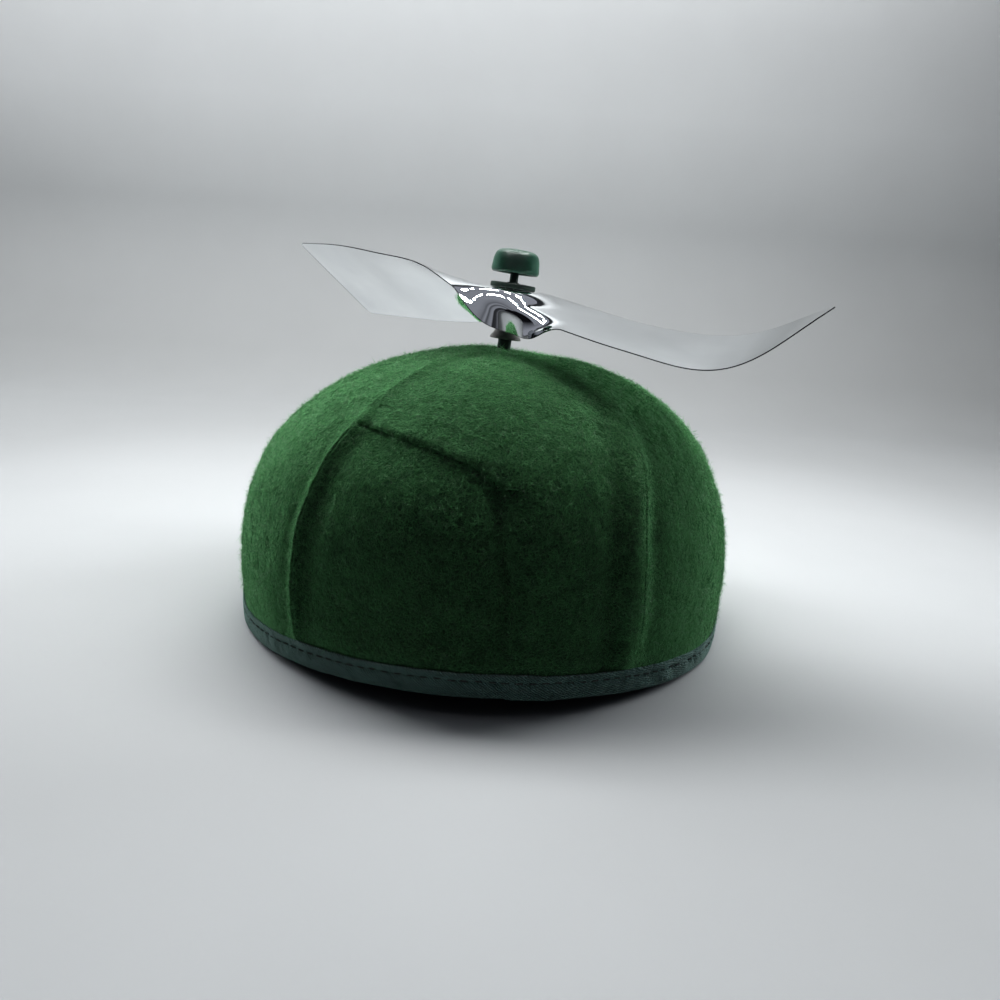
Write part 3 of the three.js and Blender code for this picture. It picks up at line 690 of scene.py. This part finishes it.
FELT = felt_look()
FIBRE = fibre_look("felt_fibres", (0.018, 0.110, 0.030), (0.11, 0.33, 0.125))
PALE_FIBRE = fibre_look("pale_fibres", (0.22, 0.36, 0.22), (0.46, 0.60, 0.46))
LOOSE_FIBRE = fibre_look("loose_fibres", (0.05, 0.19, 0.065), (0.15, 0.38, 0.165))
RIBBON = ribbon_look()
THREAD = thread_look()
DARK_PLASTIC = plastic_look("dark_plastic", (0.010, 0.028, 0.019), (0.018, 0.045, 0.031), 0.42)
GREY_PLASTIC = plastic_look("grey_plastic", (0.17, 0.165, 0.16), (0.26, 0.25, 0.245), 0.42)
GREEN_PLASTIC = plastic_look(
    "green_plastic", (0.012, 0.070, 0.040), (0.020, 0.105, 0.062), 0.36, coat=0.2)
METAL = metal_look()
MIRROR = mirror_look()


# Felt panels
surfaces = []
for index in range(6):
    columns, rows = (201, 241) if index == 0 else (81, 121)
    plain, azimuth, height, from_start, to_end = panel_surface(index, columns, rows)
    normal = smooth_normals(plain, 3)
    relief, tone = felt_relief(index, plain, azimuth, height, from_start, to_end)
    outer = plain + normal * relief[..., None]
    inner = (plain - normal * FELT_THICKNESS)[::FINE_STEP, ::FINE_STEP]
    panel = shell_object(f"felt_panel_{index + 1}", outer, inner, FINE_STEP, FELT, "cap",
                         0.5 + 0.5 * tone)
    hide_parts(f"crown_panel_{index + 1}")
    surfaces.append((outer, grid_normals(outer)))


# Fibres on the felt
def quad_areas(outer):
    slant = outer[1:, 1:] - outer[:-1, :-1]
    other = outer[1:, :-1] - outer[:-1, 1:]
    return 0.5 * np.linalg.norm(np.cross(slant, other), axis=-1)


def sample_surface(outer, normals, count):
    area = quad_areas(outer)
    area[height_rows(outer) < FELT_BOUND_HEIGHT + 1] = 0
    chance = (area / area.sum()).ravel()
    pick = rng.choice(len(chance), count, p=chance)
    i, j = np.divmod(pick, outer.shape[1] - 1)
    u = rng.random((count, 1))
    v = rng.random((count, 1))
    place = (1 - u) * (1 - v) * outer[i, j] + u * (1 - v) * outer[i, j + 1] \
        + u * v * outer[i + 1, j + 1] + (1 - u) * v * outer[i + 1, j]
    return place, normals[i, j]


def height_rows(outer):
    plain = outer[:-1, :-1, 2]
    azimuth = np.degrees(np.arctan2(outer[:-1, :-1, 0], -outer[:-1, :-1, 1]))
    return plain - arch_rise(azimuth)


def fibre_places(count):
    """Where each fibre starts, with the felt's normal and two directions along the felt."""
    areas = np.array([quad_areas(outer).sum() for outer, _ in surfaces])
    shares = np.floor(count * areas / areas.sum()).astype(int)
    places, normals = [], []
    for (outer, normal), share in zip(surfaces, shares):
        place, up = sample_surface(outer, normal, share)
        places.append(place)
        normals.append(up)
    place = np.concatenate(places)
    up = np.concatenate(normals)
    ahead = np.cross(up, rng.normal(size=up.shape))
    ahead /= np.linalg.norm(ahead, axis=-1, keepdims=True)
    return place, up, ahead, np.cross(up, ahead)


def three_sides(centre, width, across, over):
    return np.stack([
        centre + width * (math.cos(a) * across + math.sin(a) * over) for a in THIRDS], 1)


def short_fibre_object(name, count, long, thick, tilt, material):
    """Short straight hairs, each a closed sliver of four faces standing out of the felt."""
    place, up, ahead, side = fibre_places(count)
    count = len(place)
    angle = np.radians(rng.uniform(*tilt, (count, 1)))
    length = rng.uniform(*long, (count, 1))
    width = rng.uniform(*thick, (count, 1)) * 0.5
    run = ahead * np.cos(angle) + up * np.sin(angle)
    foot = place - up * 0.1
    ring = three_sides(foot, width, side, np.cross(side, run))
    vertices = np.concatenate([ring, (foot + run * length)[:, None]], 1)
    pattern = np.array([(0, 2, 1), (0, 1, 3), (1, 2, 3), (2, 0, 3)])
    faces = (pattern[None] + 4 * np.arange(count)[:, None, None]).reshape(-1, 3)
    return make_object(name, vertices, [faces], material, "cap")


def fibre_object(name, count, runs, long, thick, lift, material):
    """Curled fibres lying on the felt, each a closed spindle of a few straight runs."""
    place, up, ahead, side = fibre_places(count)
    count = len(place)
    length = rng.uniform(*long, (count, 1))
    curl = rng.uniform(-1.5, 1.5, (count, 1))
    rise = rng.uniform(*lift, (count, 1)) * rng.random((count, 1))
    line = []
    for t in np.linspace(0, 1, runs + 1):
        bend = curl * t
        step = (ahead * np.sin(bend + 1e-6) + side * (1 - np.cos(bend))) / (curl + 1e-6)
        arch = rise * t**1.5 + 0.14 * math.sin(math.pi * t)
        line.append(place + step * length + up * (arch - 0.08 * (1 - t)))
    width = rng.uniform(*thick, (count, 1)) * 0.5
    rings = [line[0][:, None, :]]
    for k in range(1, runs):
        run = line[k + 1] - line[k - 1]
        run /= np.linalg.norm(run, axis=-1, keepdims=True)
        across = np.cross(run, up)
        across /= np.linalg.norm(across, axis=-1, keepdims=True)
        rings.append(three_sides(line[k], width, across, np.cross(across, run)))
    rings.append(line[-1][:, None, :])
    vertices = np.concatenate(rings, 1)
    last = 3 * runs - 2
    pattern = []
    for k in range(3):
        n = (k + 1) % 3
        pattern += [(0, 1 + n, 1 + k), (last, last - 3 + k, last - 3 + n)]
        for a in range(1, last - 3, 3):
            pattern += [(a + k, a + n, a + 3 + n), (a + k, a + 3 + n, a + 3 + k)]
    faces = np.array(pattern)[None] + (last + 1) * np.arange(count)[:, None, None]
    return make_object(name, vertices, [faces.reshape(-1, 3)], material, "cap")


short_fibre_object("felt_nap_short", 46000, (0.7, 2.0), (0.10, 0.17), (12, 70), FIBRE)
fibre_object("felt_nap_curled", 14500, 3, (2.4, 6.5), (0.09, 0.16), (0.0, 0.7), FIBRE)
fibre_object("felt_nap_loose", 26000, 2, (1.6, 4.8), (0.07, 0.12), (0.2, 2.8), LOOSE_FIBRE)
short_fibre_object("felt_nap_fuzz", 18000, (1.2, 3.0), (0.06, 0.10), (25, 80), PALE_FIBRE)


# Ribbon folded over the felt's edge
def ribbon_sections(count):
    azimuth = np.linspace(-180, 180, count, endpoint=False)
    low = plain_radius(FELT_EDGE_HEIGHT)
    slope = (plain_radius(FELT_BOUND_HEIGHT) - low) / (FELT_BOUND_HEIGHT - FELT_EDGE_HEIGHT)
    # Side, distance off the felt and height of each point of the section
    section = [
        (1, 0.22, 0.0), (1, 0.5, 0.12), (1, 0.68, 0.5), (1, 0.76, 1.0), (1, 0.82, 1.8),
        (1, 0.86, 2.6), (1, 0.84, 3.4), (1, 0.78, 4.2), (1, 0.66, 4.8), (1, 0.5, 5.2),
        (1, 0.44, 5.45), (1, 0.5, 5.7), (1, 0.66, 6.1), (1, 0.74, 6.6), (1, 0.74, 7.2),
        (1, 0.68, 7.7), (1, 0.56, 7.95), (1, 0.36, 8.0), (1, 0.12, 7.9), (1, 0.06, 6.0),
        (1, 0.04, 3.0), (1, 0.04, 1.0), (-1, 0.04, 1.0), (-1, 0.04, 3.0), (-1, 0.06, 6.0),
        (-1, 0.12, 7.9), (-1, 0.36, 8.0), (-1, 0.6, 7.8), (-1, 0.7, 6.6), (-1, 0.5, 5.45),
        (-1, 0.76, 4.2), (-1, 0.82, 2.6), (-1, 0.76, 1.0), (-1, 0.55, 0.2), (-1, 0.22, 0.0),
    ]
    side, off, up = np.array(section, float).T[:, None, :]
    up = up + 0 * azimuth[:, None]
    arc = np.radians(azimuth)[:, None] * RIM_RADIUS
    spots = np.stack(np.broadcast_arrays(arc + 0.5 * up, up * 0.35, side * 40), -1)
    pucker = 0.5 * noise(spots, 3.4, 11) + 0.45 * noise(spots, 1.9, 12)
    broad = noise(spots, 14, 13)
    right = bell((azimuth - 44) / 16)[:, None]
    left = bell((azimuth + 50) / 14)[:, None]
    strength = 0.42 + 0.3 * np.clip(broad, 0, 1) + 0.35 * right + 0.35 * left
    face = smoothstep(0.1, 0.5, off)
    middle = smoothstep(0.2, 2.0, up) * (1 - 0.45 * smoothstep(5.2, 6.4, up))
    puff = np.clip(pucker * strength, -0.4, 0.8) * face * middle
    wrinkle = bell((azimuth[:, None] + 38.5 + 0.25 * up) / 0.55)
    puff = puff - 0.35 * wrinkle * face * (side > 0)
    level_spots = spots * (1, 0, 1)
    edge = 0.22 * noise(level_spots, 9, 14) + 0.12 * noise(level_spots, 3.1, 15)
    up = up + edge * smoothstep(5.5, 8, up)
    hem = 0.16 * noise(level_spots, 11, 16) + 0.1 * noise(level_spots, 4, 17)
    raised = arch_rise(azimuth)[:, None] > 1
    lift = np.clip(hem, -0.1, 0.3) * (1 - smoothstep(0, 2.4, up)) * raised
    lapped = window(6.2, 6.6, 13, 20, azimuth)[:, None]
    lift = lift - 0.45 * lapped * (1 - smoothstep(0, 3, up))
    face_radius = low + slope * (up - FELT_EDGE_HEIGHT) - np.where(side < 0, FELT_THICKNESS, 0)
    radius = face_radius + side * (SEAT_GAP * 0.5 + off + puff)
    rise = rim_rise(azimuth)[:, None]
    angle = np.radians(azimuth)[:, None]
    return np.stack([radius * np.sin(angle), -radius * np.cos(angle), up + rise + lift], -1)


ribbon_grid = ribbon_sections(900)
ribbon = make_object(
    "rim_ribbon", ribbon_grid,
    [grid_faces(*ribbon_grid.shape[:2], wrap_rows=True, wrap_columns=True)],
    RIBBON, "cap")
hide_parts("rim_binding")


# Running stitches along the ribbon
def tube(line, radius, sides=6):
    """Closed tube round a line of points, narrowing at both ends: vertices and faces."""
    line = np.asarray(line, float)
    run = np.gradient(line, axis=0)
    run /= np.linalg.norm(run, axis=-1, keepdims=True)
    side = np.cross(run, (0, 0, 1.0))
    side /= np.linalg.norm(side, axis=-1, keepdims=True)
    over = np.cross(side, run)
    share = np.linspace(-1, 1, len(line))
    width = radius * np.sqrt(np.clip(1 - share**6, 0, 1))[1:-1]
    angle = np.linspace(0, 2 * math.pi, sides, endpoint=False)
    ring = line[1:-1, None] + width[:, None, None] * (
        np.cos(angle)[None, :, None] * side[1:-1, None]
        + np.sin(angle)[None, :, None] * over[1:-1, None])
    rows = len(line) - 2
    vertices = np.concatenate([ring.reshape(-1, 3), line[[0, -1]]])
    return vertices, [grid_faces(rows, sides, wrap_columns=True), *cap_faces(rows, sides)]


def stitch_row():
    parts = []
    pitch = 360 / STITCHES
    for k in range(STITCHES):
        middle = -180 + (k + 0.5) * pitch + rng.uniform(-0.12, 0.12)
        half = pitch * rng.uniform(0.3, 0.36)
        azimuth = np.linspace(middle - half, middle + half, 9)
        share = np.linspace(-1, 1, 9)
        up = STITCH_HEIGHT + rng.uniform(-0.15, 0.15) + 0.12 * share * rng.uniform(-1, 1)
        radius = plain_radius(up) + SEAT_GAP * 0.5 + STITCH_OFF - 0.3 * share**4
        angle = np.radians(azimuth)
        line = np.stack([
            radius * np.sin(angle), -radius * np.cos(angle), up + rim_rise(azimuth)], -1)
        parts.append(tube(line, STITCH_RADIUS))
    vertices, faces, start = [], [[], [], []], 0
    for points, groups in parts:
        vertices.append(points)
        for kept, group in zip(faces, groups):
            kept.append(group + start)
        start += len(points)
    return np.concatenate(vertices), [np.concatenate(kept) for kept in faces]


stitch_vertices, stitch_faces = stitch_row()
make_object("ribbon_stitches", stitch_vertices, stitch_faces, THREAD, "cap")


# Post, collar, washers and knob
foot_top = -FELT_THICKNESS - SEAT_GAP
post = turned_object("post_moulding", rounded([
    (foot_top - 1.2, 0), (foot_top - 1.2, 7), (foot_top, 7), (foot_top, POST_RADIUS + 0.6),
    (foot_top + 1.0, POST_RADIUS), (SHOULDER, POST_RADIUS), (SHOULDER, PIN_RADIUS),
    (PIN_TOP, PIN_RADIUS), (PIN_TOP, 0),
], 0.25), 64, DARK_PLASTIC, "cap")
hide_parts("post")

bore = POST_RADIUS + 0.12
collar_tall = COLLAR_TOP - COLLAR_BASE
collar = turned_object("collar_moulding", rounded([
    (COLLAR_BASE, (bore + COLLAR_RADIUS) / 2), (COLLAR_BASE, bore), (COLLAR_TOP, bore),
    (COLLAR_TOP, COLLAR_RADIUS * 0.86), (COLLAR_TOP - 1.0, COLLAR_RADIUS * 0.8),
    (COLLAR_BASE + collar_tall * 0.6, COLLAR_RADIUS * 0.71),
    (COLLAR_BASE + collar_tall * 0.35, COLLAR_RADIUS * 0.8),
    (COLLAR_BASE + collar_tall * 0.14, COLLAR_RADIUS * 0.98), (COLLAR_BASE, COLLAR_RADIUS),
    (COLLAR_BASE, (bore + COLLAR_RADIUS) / 2),
], 0.4)[:-1], 64, GREY_PLASTIC, "cap", ring=True)
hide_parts("collar")


def lobes(along, out, angle):
    flat = COLLAR_RADIUS * 0.86
    reach = np.clip((out - flat) / (LOBED_RADIUS - flat), 0, 1)
    wave = np.cos(LOBES * angle)
    lift = 2.2 * reach * reach + 0.25 * reach * wave
    return along + lift, out * (1 - 0.2 * reach * (1 - wave))


lobed_out = np.linspace(bore, LOBED_RADIUS, 14)
lobed_profile = np.concatenate([
    np.stack([np.full(14, LOBED_BASE + 0.65), lobed_out], -1),
    np.stack([np.full(14, LOBED_BASE), lobed_out[::-1]], -1)])
washer = turned_object("lobed_washer_sheet", lobed_profile, 144, METAL, "cap",
                       ring=True, shape=lobes)
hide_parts("lobed_washer")

pin_bore = PIN_RADIUS + 0.1
disc = turned_object("top_disc_moulding", rounded([
    (DISC_BASE, 4), (DISC_BASE, pin_bore), (DISC_TOP + 0.5, pin_bore),
    (DISC_TOP + 0.5, PIN_RADIUS + 0.5), (DISC_TOP, PIN_RADIUS + 1.3),
    (DISC_TOP, DISC_RADIUS), (DISC_BASE, DISC_RADIUS), (DISC_BASE, 4),
], 0.5)[:-1], 96, DARK_PLASTIC, "cap", ring=True)
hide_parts("top_disc")

tall = KNOB_TOP - KNOB_BASE
knob = turned_object("knob_moulding", rounded([
    (PIN_TOP + SEAT_GAP, 0), (PIN_TOP + SEAT_GAP, PIN_RADIUS + 0.15),
    (KNOB_BASE + 0.8, PIN_RADIUS + 0.15), (KNOB_BASE + 0.8, KNOB_RADIUS * 0.72),
    (KNOB_BASE, KNOB_RADIUS * 0.8), (KNOB_BASE, KNOB_RADIUS * 0.95),
    (KNOB_BASE + tall * 0.12, KNOB_RADIUS), (KNOB_BASE + tall * 0.6, KNOB_RADIUS * 0.95),
    (KNOB_BASE + tall * 0.84, KNOB_RADIUS * 0.87), (KNOB_BASE + tall * 0.96, KNOB_RADIUS * 0.7),
    (KNOB_TOP, KNOB_RADIUS * 0.4), (KNOB_TOP, 0),
], 1.2, 6), 96, GREEN_PLASTIC, "cap")
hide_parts("knob")


# Propeller
def smoothed(values, width):
    """Values at even places, smoothed by a bell that is width places across."""
    reach = int(3 * width)
    kernel = bell(np.arange(-reach, reach + 1) / width)
    kernel /= kernel.sum()
    first = 2 * values[0] - values[reach:0:-1]
    last = 2 * values[-1] - values[-2:-reach - 2:-1]
    return np.convolve(np.concatenate([first, values, last]), kernel, "valid")


def lip_shift(across, share):
    """How far the bend of the lip brings a point in and down, in half widths of the strip."""
    grown = smoothstep(LIP_START, LIP_FULL, share) * (1 - smoothstep(LIP_FADE, LIP_END, share))
    reach = np.maximum(LIP_INNER - across, 0)
    inward = 0
    down = 0
    for k in range(LIP_STEPS):
        place = LIP_INNER - reach * (k + 0.5) / LIP_STEPS
        angle = LIP_BEND * grown * smoothstep(-LIP_INNER, -LIP_OUTER, -place)
        inward = inward + reach / LIP_STEPS * (1 - np.cos(angle))
        down = down + reach / LIP_STEPS * np.sin(angle)
    return inward, down


def strip_grid(stations, columns):
    share = np.linspace(-1, 1, stations)
    width = stations * 0.03
    lift, pitch, bulge = (smoothed(curve_through(STRIP, c, share), width) for c in (1, 2, 3))
    level = HUB[2] + BLADE_REACH * lift
    bent = 0.5 * (1 + np.tanh(share * BEND_SHARPNESS))
    run = np.radians(LEFT_RUN + (RIGHT_RUN - LEFT_RUN) * bent)
    step = 2 * BLADE_REACH / (stations - 1)
    flat = np.sqrt(step**2 - np.diff(level) ** 2)
    middle = (run[1:] + run[:-1]) / 2
    x = np.concatenate([[0], np.cumsum(flat * np.cos(middle))])
    y = -np.concatenate([[0], np.cumsum(flat * np.sin(middle))])
    centre = stations // 2
    x += HUB[0] - x[centre]
    y += HUB[1] - y[centre]
    pitch = np.radians(pitch)
    end = np.clip((np.abs(share) - 1) * BLADE_REACH + BLADE_CORNER, 0, None) / BLADE_CORNER
    half = BLADE_WIDTH / 2 - BLADE_CORNER * (1 - np.sqrt(1 - end**2)) * 0.8
    inner = np.linspace(-0.988, 0.988, columns - 2)
    across = np.concatenate([[-1], inner, [1]])[None, :, None]
    cosine, sine = np.cos(pitch), np.sin(pitch)
    chord = np.stack([cosine * np.sin(run), cosine * np.cos(run), sine], -1)
    up = np.stack([-sine * np.sin(run), -sine * np.cos(run), cosine], -1)
    point = np.stack([x, y, level], -1)[:, None] \
        + chord[:, None] * across * half[:, None, None] \
        + up[:, None] * (BLADE_WIDTH * bulge)[:, None, None] * (1 - across**2)
    off, out = from_hub(point)
    settle = off * (1 - smoothstep(HUB_FLAT_RADIUS, HUB_BLEND_RADIUS, out))
    bends = lip_shift(across[..., 0], share[:, None])
    inward, down = (shift * half[:, None] for shift in bends)
    point = point - settle[..., None] * POST_AXIS
    return point + chord[:, None] * inward[..., None] - up[:, None] * down[..., None]


def propeller_object():
    rows, columns = 241, 71
    grid = strip_grid(rows, columns)
    normal = smooth_normals(grid.transpose(1, 0, 2), 2).transpose(1, 0, 2)
    if normal[rows // 2, columns // 2, 2] < 0:
        normal = -normal
    top = grid + normal * BLADE_THICKNESS / 2
    under = grid - normal * BLADE_THICKNESS / 2

    # Leave out the faces round the hole; a collar of faces below fills the ragged gap
    radius = PIN_RADIUS + RUNNING_GAP
    centre = (grid[:-1, :-1] + grid[1:, 1:] + grid[:-1, 1:] + grid[1:, :-1]) / 4
    keep = from_hub(centre)[1] >= radius + 1.6
    used = grid_faces(rows, columns).reshape(rows - 1, columns - 1, 4)[keep]
    start = rows * columns
    flip = np.cross(grid[1, 0] - grid[0, 0], grid[0, 1] - grid[0, 0]) @ normal[0, 0] > 0
    upper = used[:, ::-1] if flip else used
    lower = used + start if flip else used[:, ::-1] + start
    faces = [upper, lower]
    edges = [(a, b) for quad in upper for a, b in zip(quad, np.roll(quad, -1))]
    known = set(edges)
    border = [(a, b) for a, b in edges if (b, a) not in known]
    walls = np.array([(b, a, a + start, b + start) for a, b in border])
    inner_edges = {a: b for a, b in border if from_hub(grid.reshape(-1, 3)[a])[1] < 12}
    loop = [next(iter(inner_edges))]
    while inner_edges[loop[-1]] != loop[0]:
        loop.append(inner_edges[loop[-1]])
    hole = set(loop)
    walls = np.array([w for w in walls if w[0] not in hole])
    faces.append(walls)
    # A fine collar of faces runs from the ragged gap to the round hole
    vertices = np.concatenate([top.reshape(-1, 3), under.reshape(-1, 3)])
    away = grid.reshape(-1, 3)[loop] - HUB
    away -= (away @ POST_AXIS)[:, None] * POST_AXIS
    circle = HUB + away / np.linalg.norm(away, axis=-1, keepdims=True) * radius
    first = len(vertices)
    size = len(loop)
    vertices = np.concatenate([
        vertices, circle + POST_AXIS * BLADE_THICKNESS / 2,
        circle - POST_AXIS * BLADE_THICKNESS / 2])
    loop = np.array(loop)
    nxt = np.roll(loop, -1)
    k = first + np.arange(size)
    nk = np.roll(k, -1)
    faces.append(np.stack([nxt, loop, k, nk], -1))
    faces.append(np.stack([loop + start, nxt + start, nk + size, k + size], -1))
    faces.append(np.stack([nk, k, k + size, nk + size], -1))
    edge = np.zeros((rows, columns))
    edge[[0, -1]] = 1
    edge[:, [0, -1]] = 1
    edge = np.concatenate([edge.ravel(), edge.ravel(), np.zeros(2 * size)])
    return make_object("propeller_sheet", vertices, faces, MIRROR, "propeller",
                       sharp=35, tone=edge)


propeller = propeller_object()
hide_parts("propeller")


# Stage: a pale sweep, soft light from above and the sides, and rows of small lamps overhead
def sweep_look():
    look = Look("sweep_paper")
    split = look.add("ShaderNodeSeparateXYZ", {"Vector": look.place}).outputs
    # Painted light and shade: the paper is darker on the floor and lighter up the wall
    tone = look.ramp(split["Z"], (0.05, (0.455, 0.475, 0.485)), (0.36, (0.71, 0.74, 0.76)))
    # Painted shade: the floor is darker towards the open front
    near = look.math("ADD", split["Y"], 0.7)
    tone = look.mix(1.0, tone, look.ramp(near, (0.38, 0.4), (0.48, 1.0)), "MULTIPLY")
    grain = look.ramp(look.noise(9, 3), (0.3, 0.97), (0.7, 1.0))
    look.set(Base_Color=look.mix(1.0, tone, grain, "MULTIPLY"), Roughness=0.9,
             Specular_IOR_Level=0.2)
    return look.material


def sweep():
    near, back, radius, tall = -700.0, 520.0, 230.0, 1300.0
    angle = np.linspace(0, math.pi / 2, 24)
    y = np.concatenate([[near, -300, 0], back + radius * np.sin(angle), [back + radius]])
    z = np.concatenate([[0, 0, 0], radius * (1 - np.cos(angle)), [tall]])
    x = np.linspace(-SWEEP_REACH, SWEEP_REACH, 5)
    grid = np.stack(np.broadcast_arrays(x[None, :], y[:, None], z[:, None]), -1)
    grid = grid - (CAP_X, 0, 0)
    return make_object("sweep", grid, [grid_faces(len(y), len(x))], sweep_look(), None)


def graded(tree, coordinate, axis, scale, shift, stops):
    """Colour along one axis of a texture coordinate that is scaled and shifted."""
    place = tree.nodes.new("ShaderNodeTexCoord")
    split = tree.nodes.new("ShaderNodeSeparateXYZ")
    moved = tree.nodes.new("ShaderNodeMath")
    ramp = tree.nodes.new("ShaderNodeValToRGB")
    moved.operation = "MULTIPLY_ADD"
    moved.inputs[1].default_value = scale
    moved.inputs[2].default_value = shift
    tree.links.new(place.outputs[coordinate], split.inputs[0])
    tree.links.new(split.outputs[axis], moved.inputs[0])
    tree.links.new(moved.outputs[0], ramp.inputs[0])
    set_stops(ramp, stops)
    return ramp.outputs[0]


def glow_object(name, vertices, faces, colour, strength, levels=()):
    """A glowing piece of the stage, seen only in reflections; levels gives its strength by
    height in metres."""
    material = bpy.data.materials.new(name)
    material.use_nodes = True
    tree = material.node_tree
    tree.nodes.clear()
    glow = tree.nodes.new("ShaderNodeEmission")
    glow.inputs["Color"].default_value = (*colour, 1)
    glow.inputs["Strength"].default_value = strength
    tree.links.new(glow.outputs[0], tree.nodes.new("ShaderNodeOutputMaterial").inputs[0])
    if levels:
        stops = [(height, [level * c for c in colour]) for height, level in levels]
        tree.links.new(graded(tree, "Object", "Z", 1, 0, stops), glow.inputs["Color"])
    piece = make_object(name, vertices, faces, material, None)
    piece.visible_camera = False
    piece.visible_diffuse = False
    piece.visible_shadow = False
    piece.visible_transmission = False
    return piece


def lamp_rows():
    """Groups of small lamps in a rectangle overhead."""
    spots = []
    for x in np.arange(-150, 151, 75):
        spots += [(x + step, y + row, 4.8, 8) for step in (-13, 0, 13)
                  for y in (-130, 90) for row in (-11, 11)]
    for y in np.arange(-90, 61, 50):
        spots += [(x + row, y + step, 8, 4.8) for step in (-10, 10)
                  for x in (-170, 170) for row in (-11, 11)]
    vertices, faces = [], []
    for k, (x, y, a, b) in enumerate(spots):
        vertices += [(x - a, y - b, LAMP_HEIGHT), (x + a, y - b, LAMP_HEIGHT),
                     (x + a, y + b, LAMP_HEIGHT), (x - a, y + b, LAMP_HEIGHT)]
        faces.append((4 * k + 3, 4 * k + 2, 4 * k + 1, 4 * k))
    return glow_object("lamp_dots", vertices, [np.array(faces)], (1, 1, 1), LAMP_GLOW)


def painted_reflection_lining():
    """A glowing sheet in front and overhead, seen only in reflections: a painted reflection of
    a grey lining, in bands by height.
    """
    y, z = np.array([
        (-640, 0), (-640, 300), (-620, 520), (-540, 640), (-400, 680), (-200, 690), (60, 690),
    ], float).T
    x = np.linspace(-900, 900, 5)
    grid = np.stack(np.broadcast_arrays(x[None, :], y[:, None], z[:, None]), -1)
    levels = [
        (0.0, 0.20), (0.06, 0.05), (0.14, 0.04), (0.17, 0.30), (0.24, 0.26), (0.30, 0.10),
        (0.36, 0.32), (0.44, 0.16), (0.52, 0.24), (0.66, 0.30)]
    return glow_object(
        "painted_reflection_lining", grid, [grid_faces(*grid.shape[:2])], (0.97, 1.0, 1.12), 1, levels)


def front_backdrop():
    """Plain grey backdrop round the open side, for views from the back and the sides."""
    angle = np.linspace(0, math.pi, 25)
    x = np.concatenate([[BACKDROP_REACH], BACKDROP_REACH * np.cos(angle), [-BACKDROP_REACH]])
    y = np.concatenate([[740], -BACKDROP_REACH * np.sin(angle), [740]])
    z = np.array([-50.0, 1900.0])
    grid = np.stack(np.broadcast_arrays(x[None, :], y[None, :], z[:, None]), -1)
    backdrop = glow_object("front_backdrop", grid, [grid_faces(*grid.shape[:2])],
                           (0.30, 0.31, 0.33), 1)
    backdrop.visible_camera = True
    backdrop.visible_glossy = False
    return backdrop


def area_light(name, place, target, size, power, colour, spread=180):
    light = bpy.data.lights.new(name, "AREA")
    light.shape = "RECTANGLE"
    light.size, light.size_y = size
    light.energy = power
    light.color = colour
    light.spread = math.radians(spread)
    lamp = bpy.data.objects.new(name, light)
    aim = (Vector(target) - Vector(place)).to_track_quat("-Z", "Y").to_matrix()
    lamp.matrix_world = Matrix.Translation(place) @ aim.to_4x4()
    bpy.context.scene.collection.objects.link(lamp)
    lamp.visible_glossy = False
    lamp.visible_camera = False
    return lamp


sweep()
lamp_rows()
painted_reflection_lining()
front_backdrop()
area_light(
    "ceiling_light", (0, 0.085, 0.46), (0, 0.085, 0), (0.75, 0.08), 2.0, (1, 0.985, 0.97))
area_light(
    "back_light", (-0.25, 0.48, 0.95), (-0.25, 0.70, 0.20), (1.5, 0.2), 9.0, (1, 0.99, 0.98))
for side in (-1, 1):
    area_light(f"wall_light_{side + 2}", (0.5 * side, 0.30, 0.2), (0, 0, 0.09), (0.35, 0.2),
               0.36, (0.97, 0.98, 1), spread=50)


def pale_room():
    """Grey all round, darker on the open side where the camera stands."""
    world = bpy.data.worlds.new("pale_room")
    bpy.context.scene.world = world
    world.use_nodes = True
    tree = world.node_tree
    background = tree.nodes["Background"]
    stops = [(0.40, (0.012, 0.012, 0.015)), (0.62, (0.45, 0.46, 0.52))]
    tree.links.new(graded(tree, "Generated", "Y", 0.5, 0.5, stops), background.inputs["Color"])
    background.inputs["Strength"].default_value = 0.7


pale_room()

# Camera at the photograph's angle
camera_data = bpy.data.cameras.new("camera")
camera_data.sensor_width = 36
camera_data.lens = CAMERA_LENS
camera_data.clip_start = 0.01
camera = bpy.data.objects.new("camera", camera_data)
bpy.context.scene.collection.objects.link(camera)
camera.matrix_world = Matrix.Translation(CAMERA_PLACE) \
    @ Matrix.Rotation(math.pi / 2 - CAMERA_PITCH, 4, "X") @ Matrix.Rotation(CAMERA_ROLL, 4, "Z")
bpy.context.scene.camera = camera
bpy.context.scene.view_settings.view_transform = "Standard"
bpy.context.scene.view_settings.look = "Medium High Contrast"
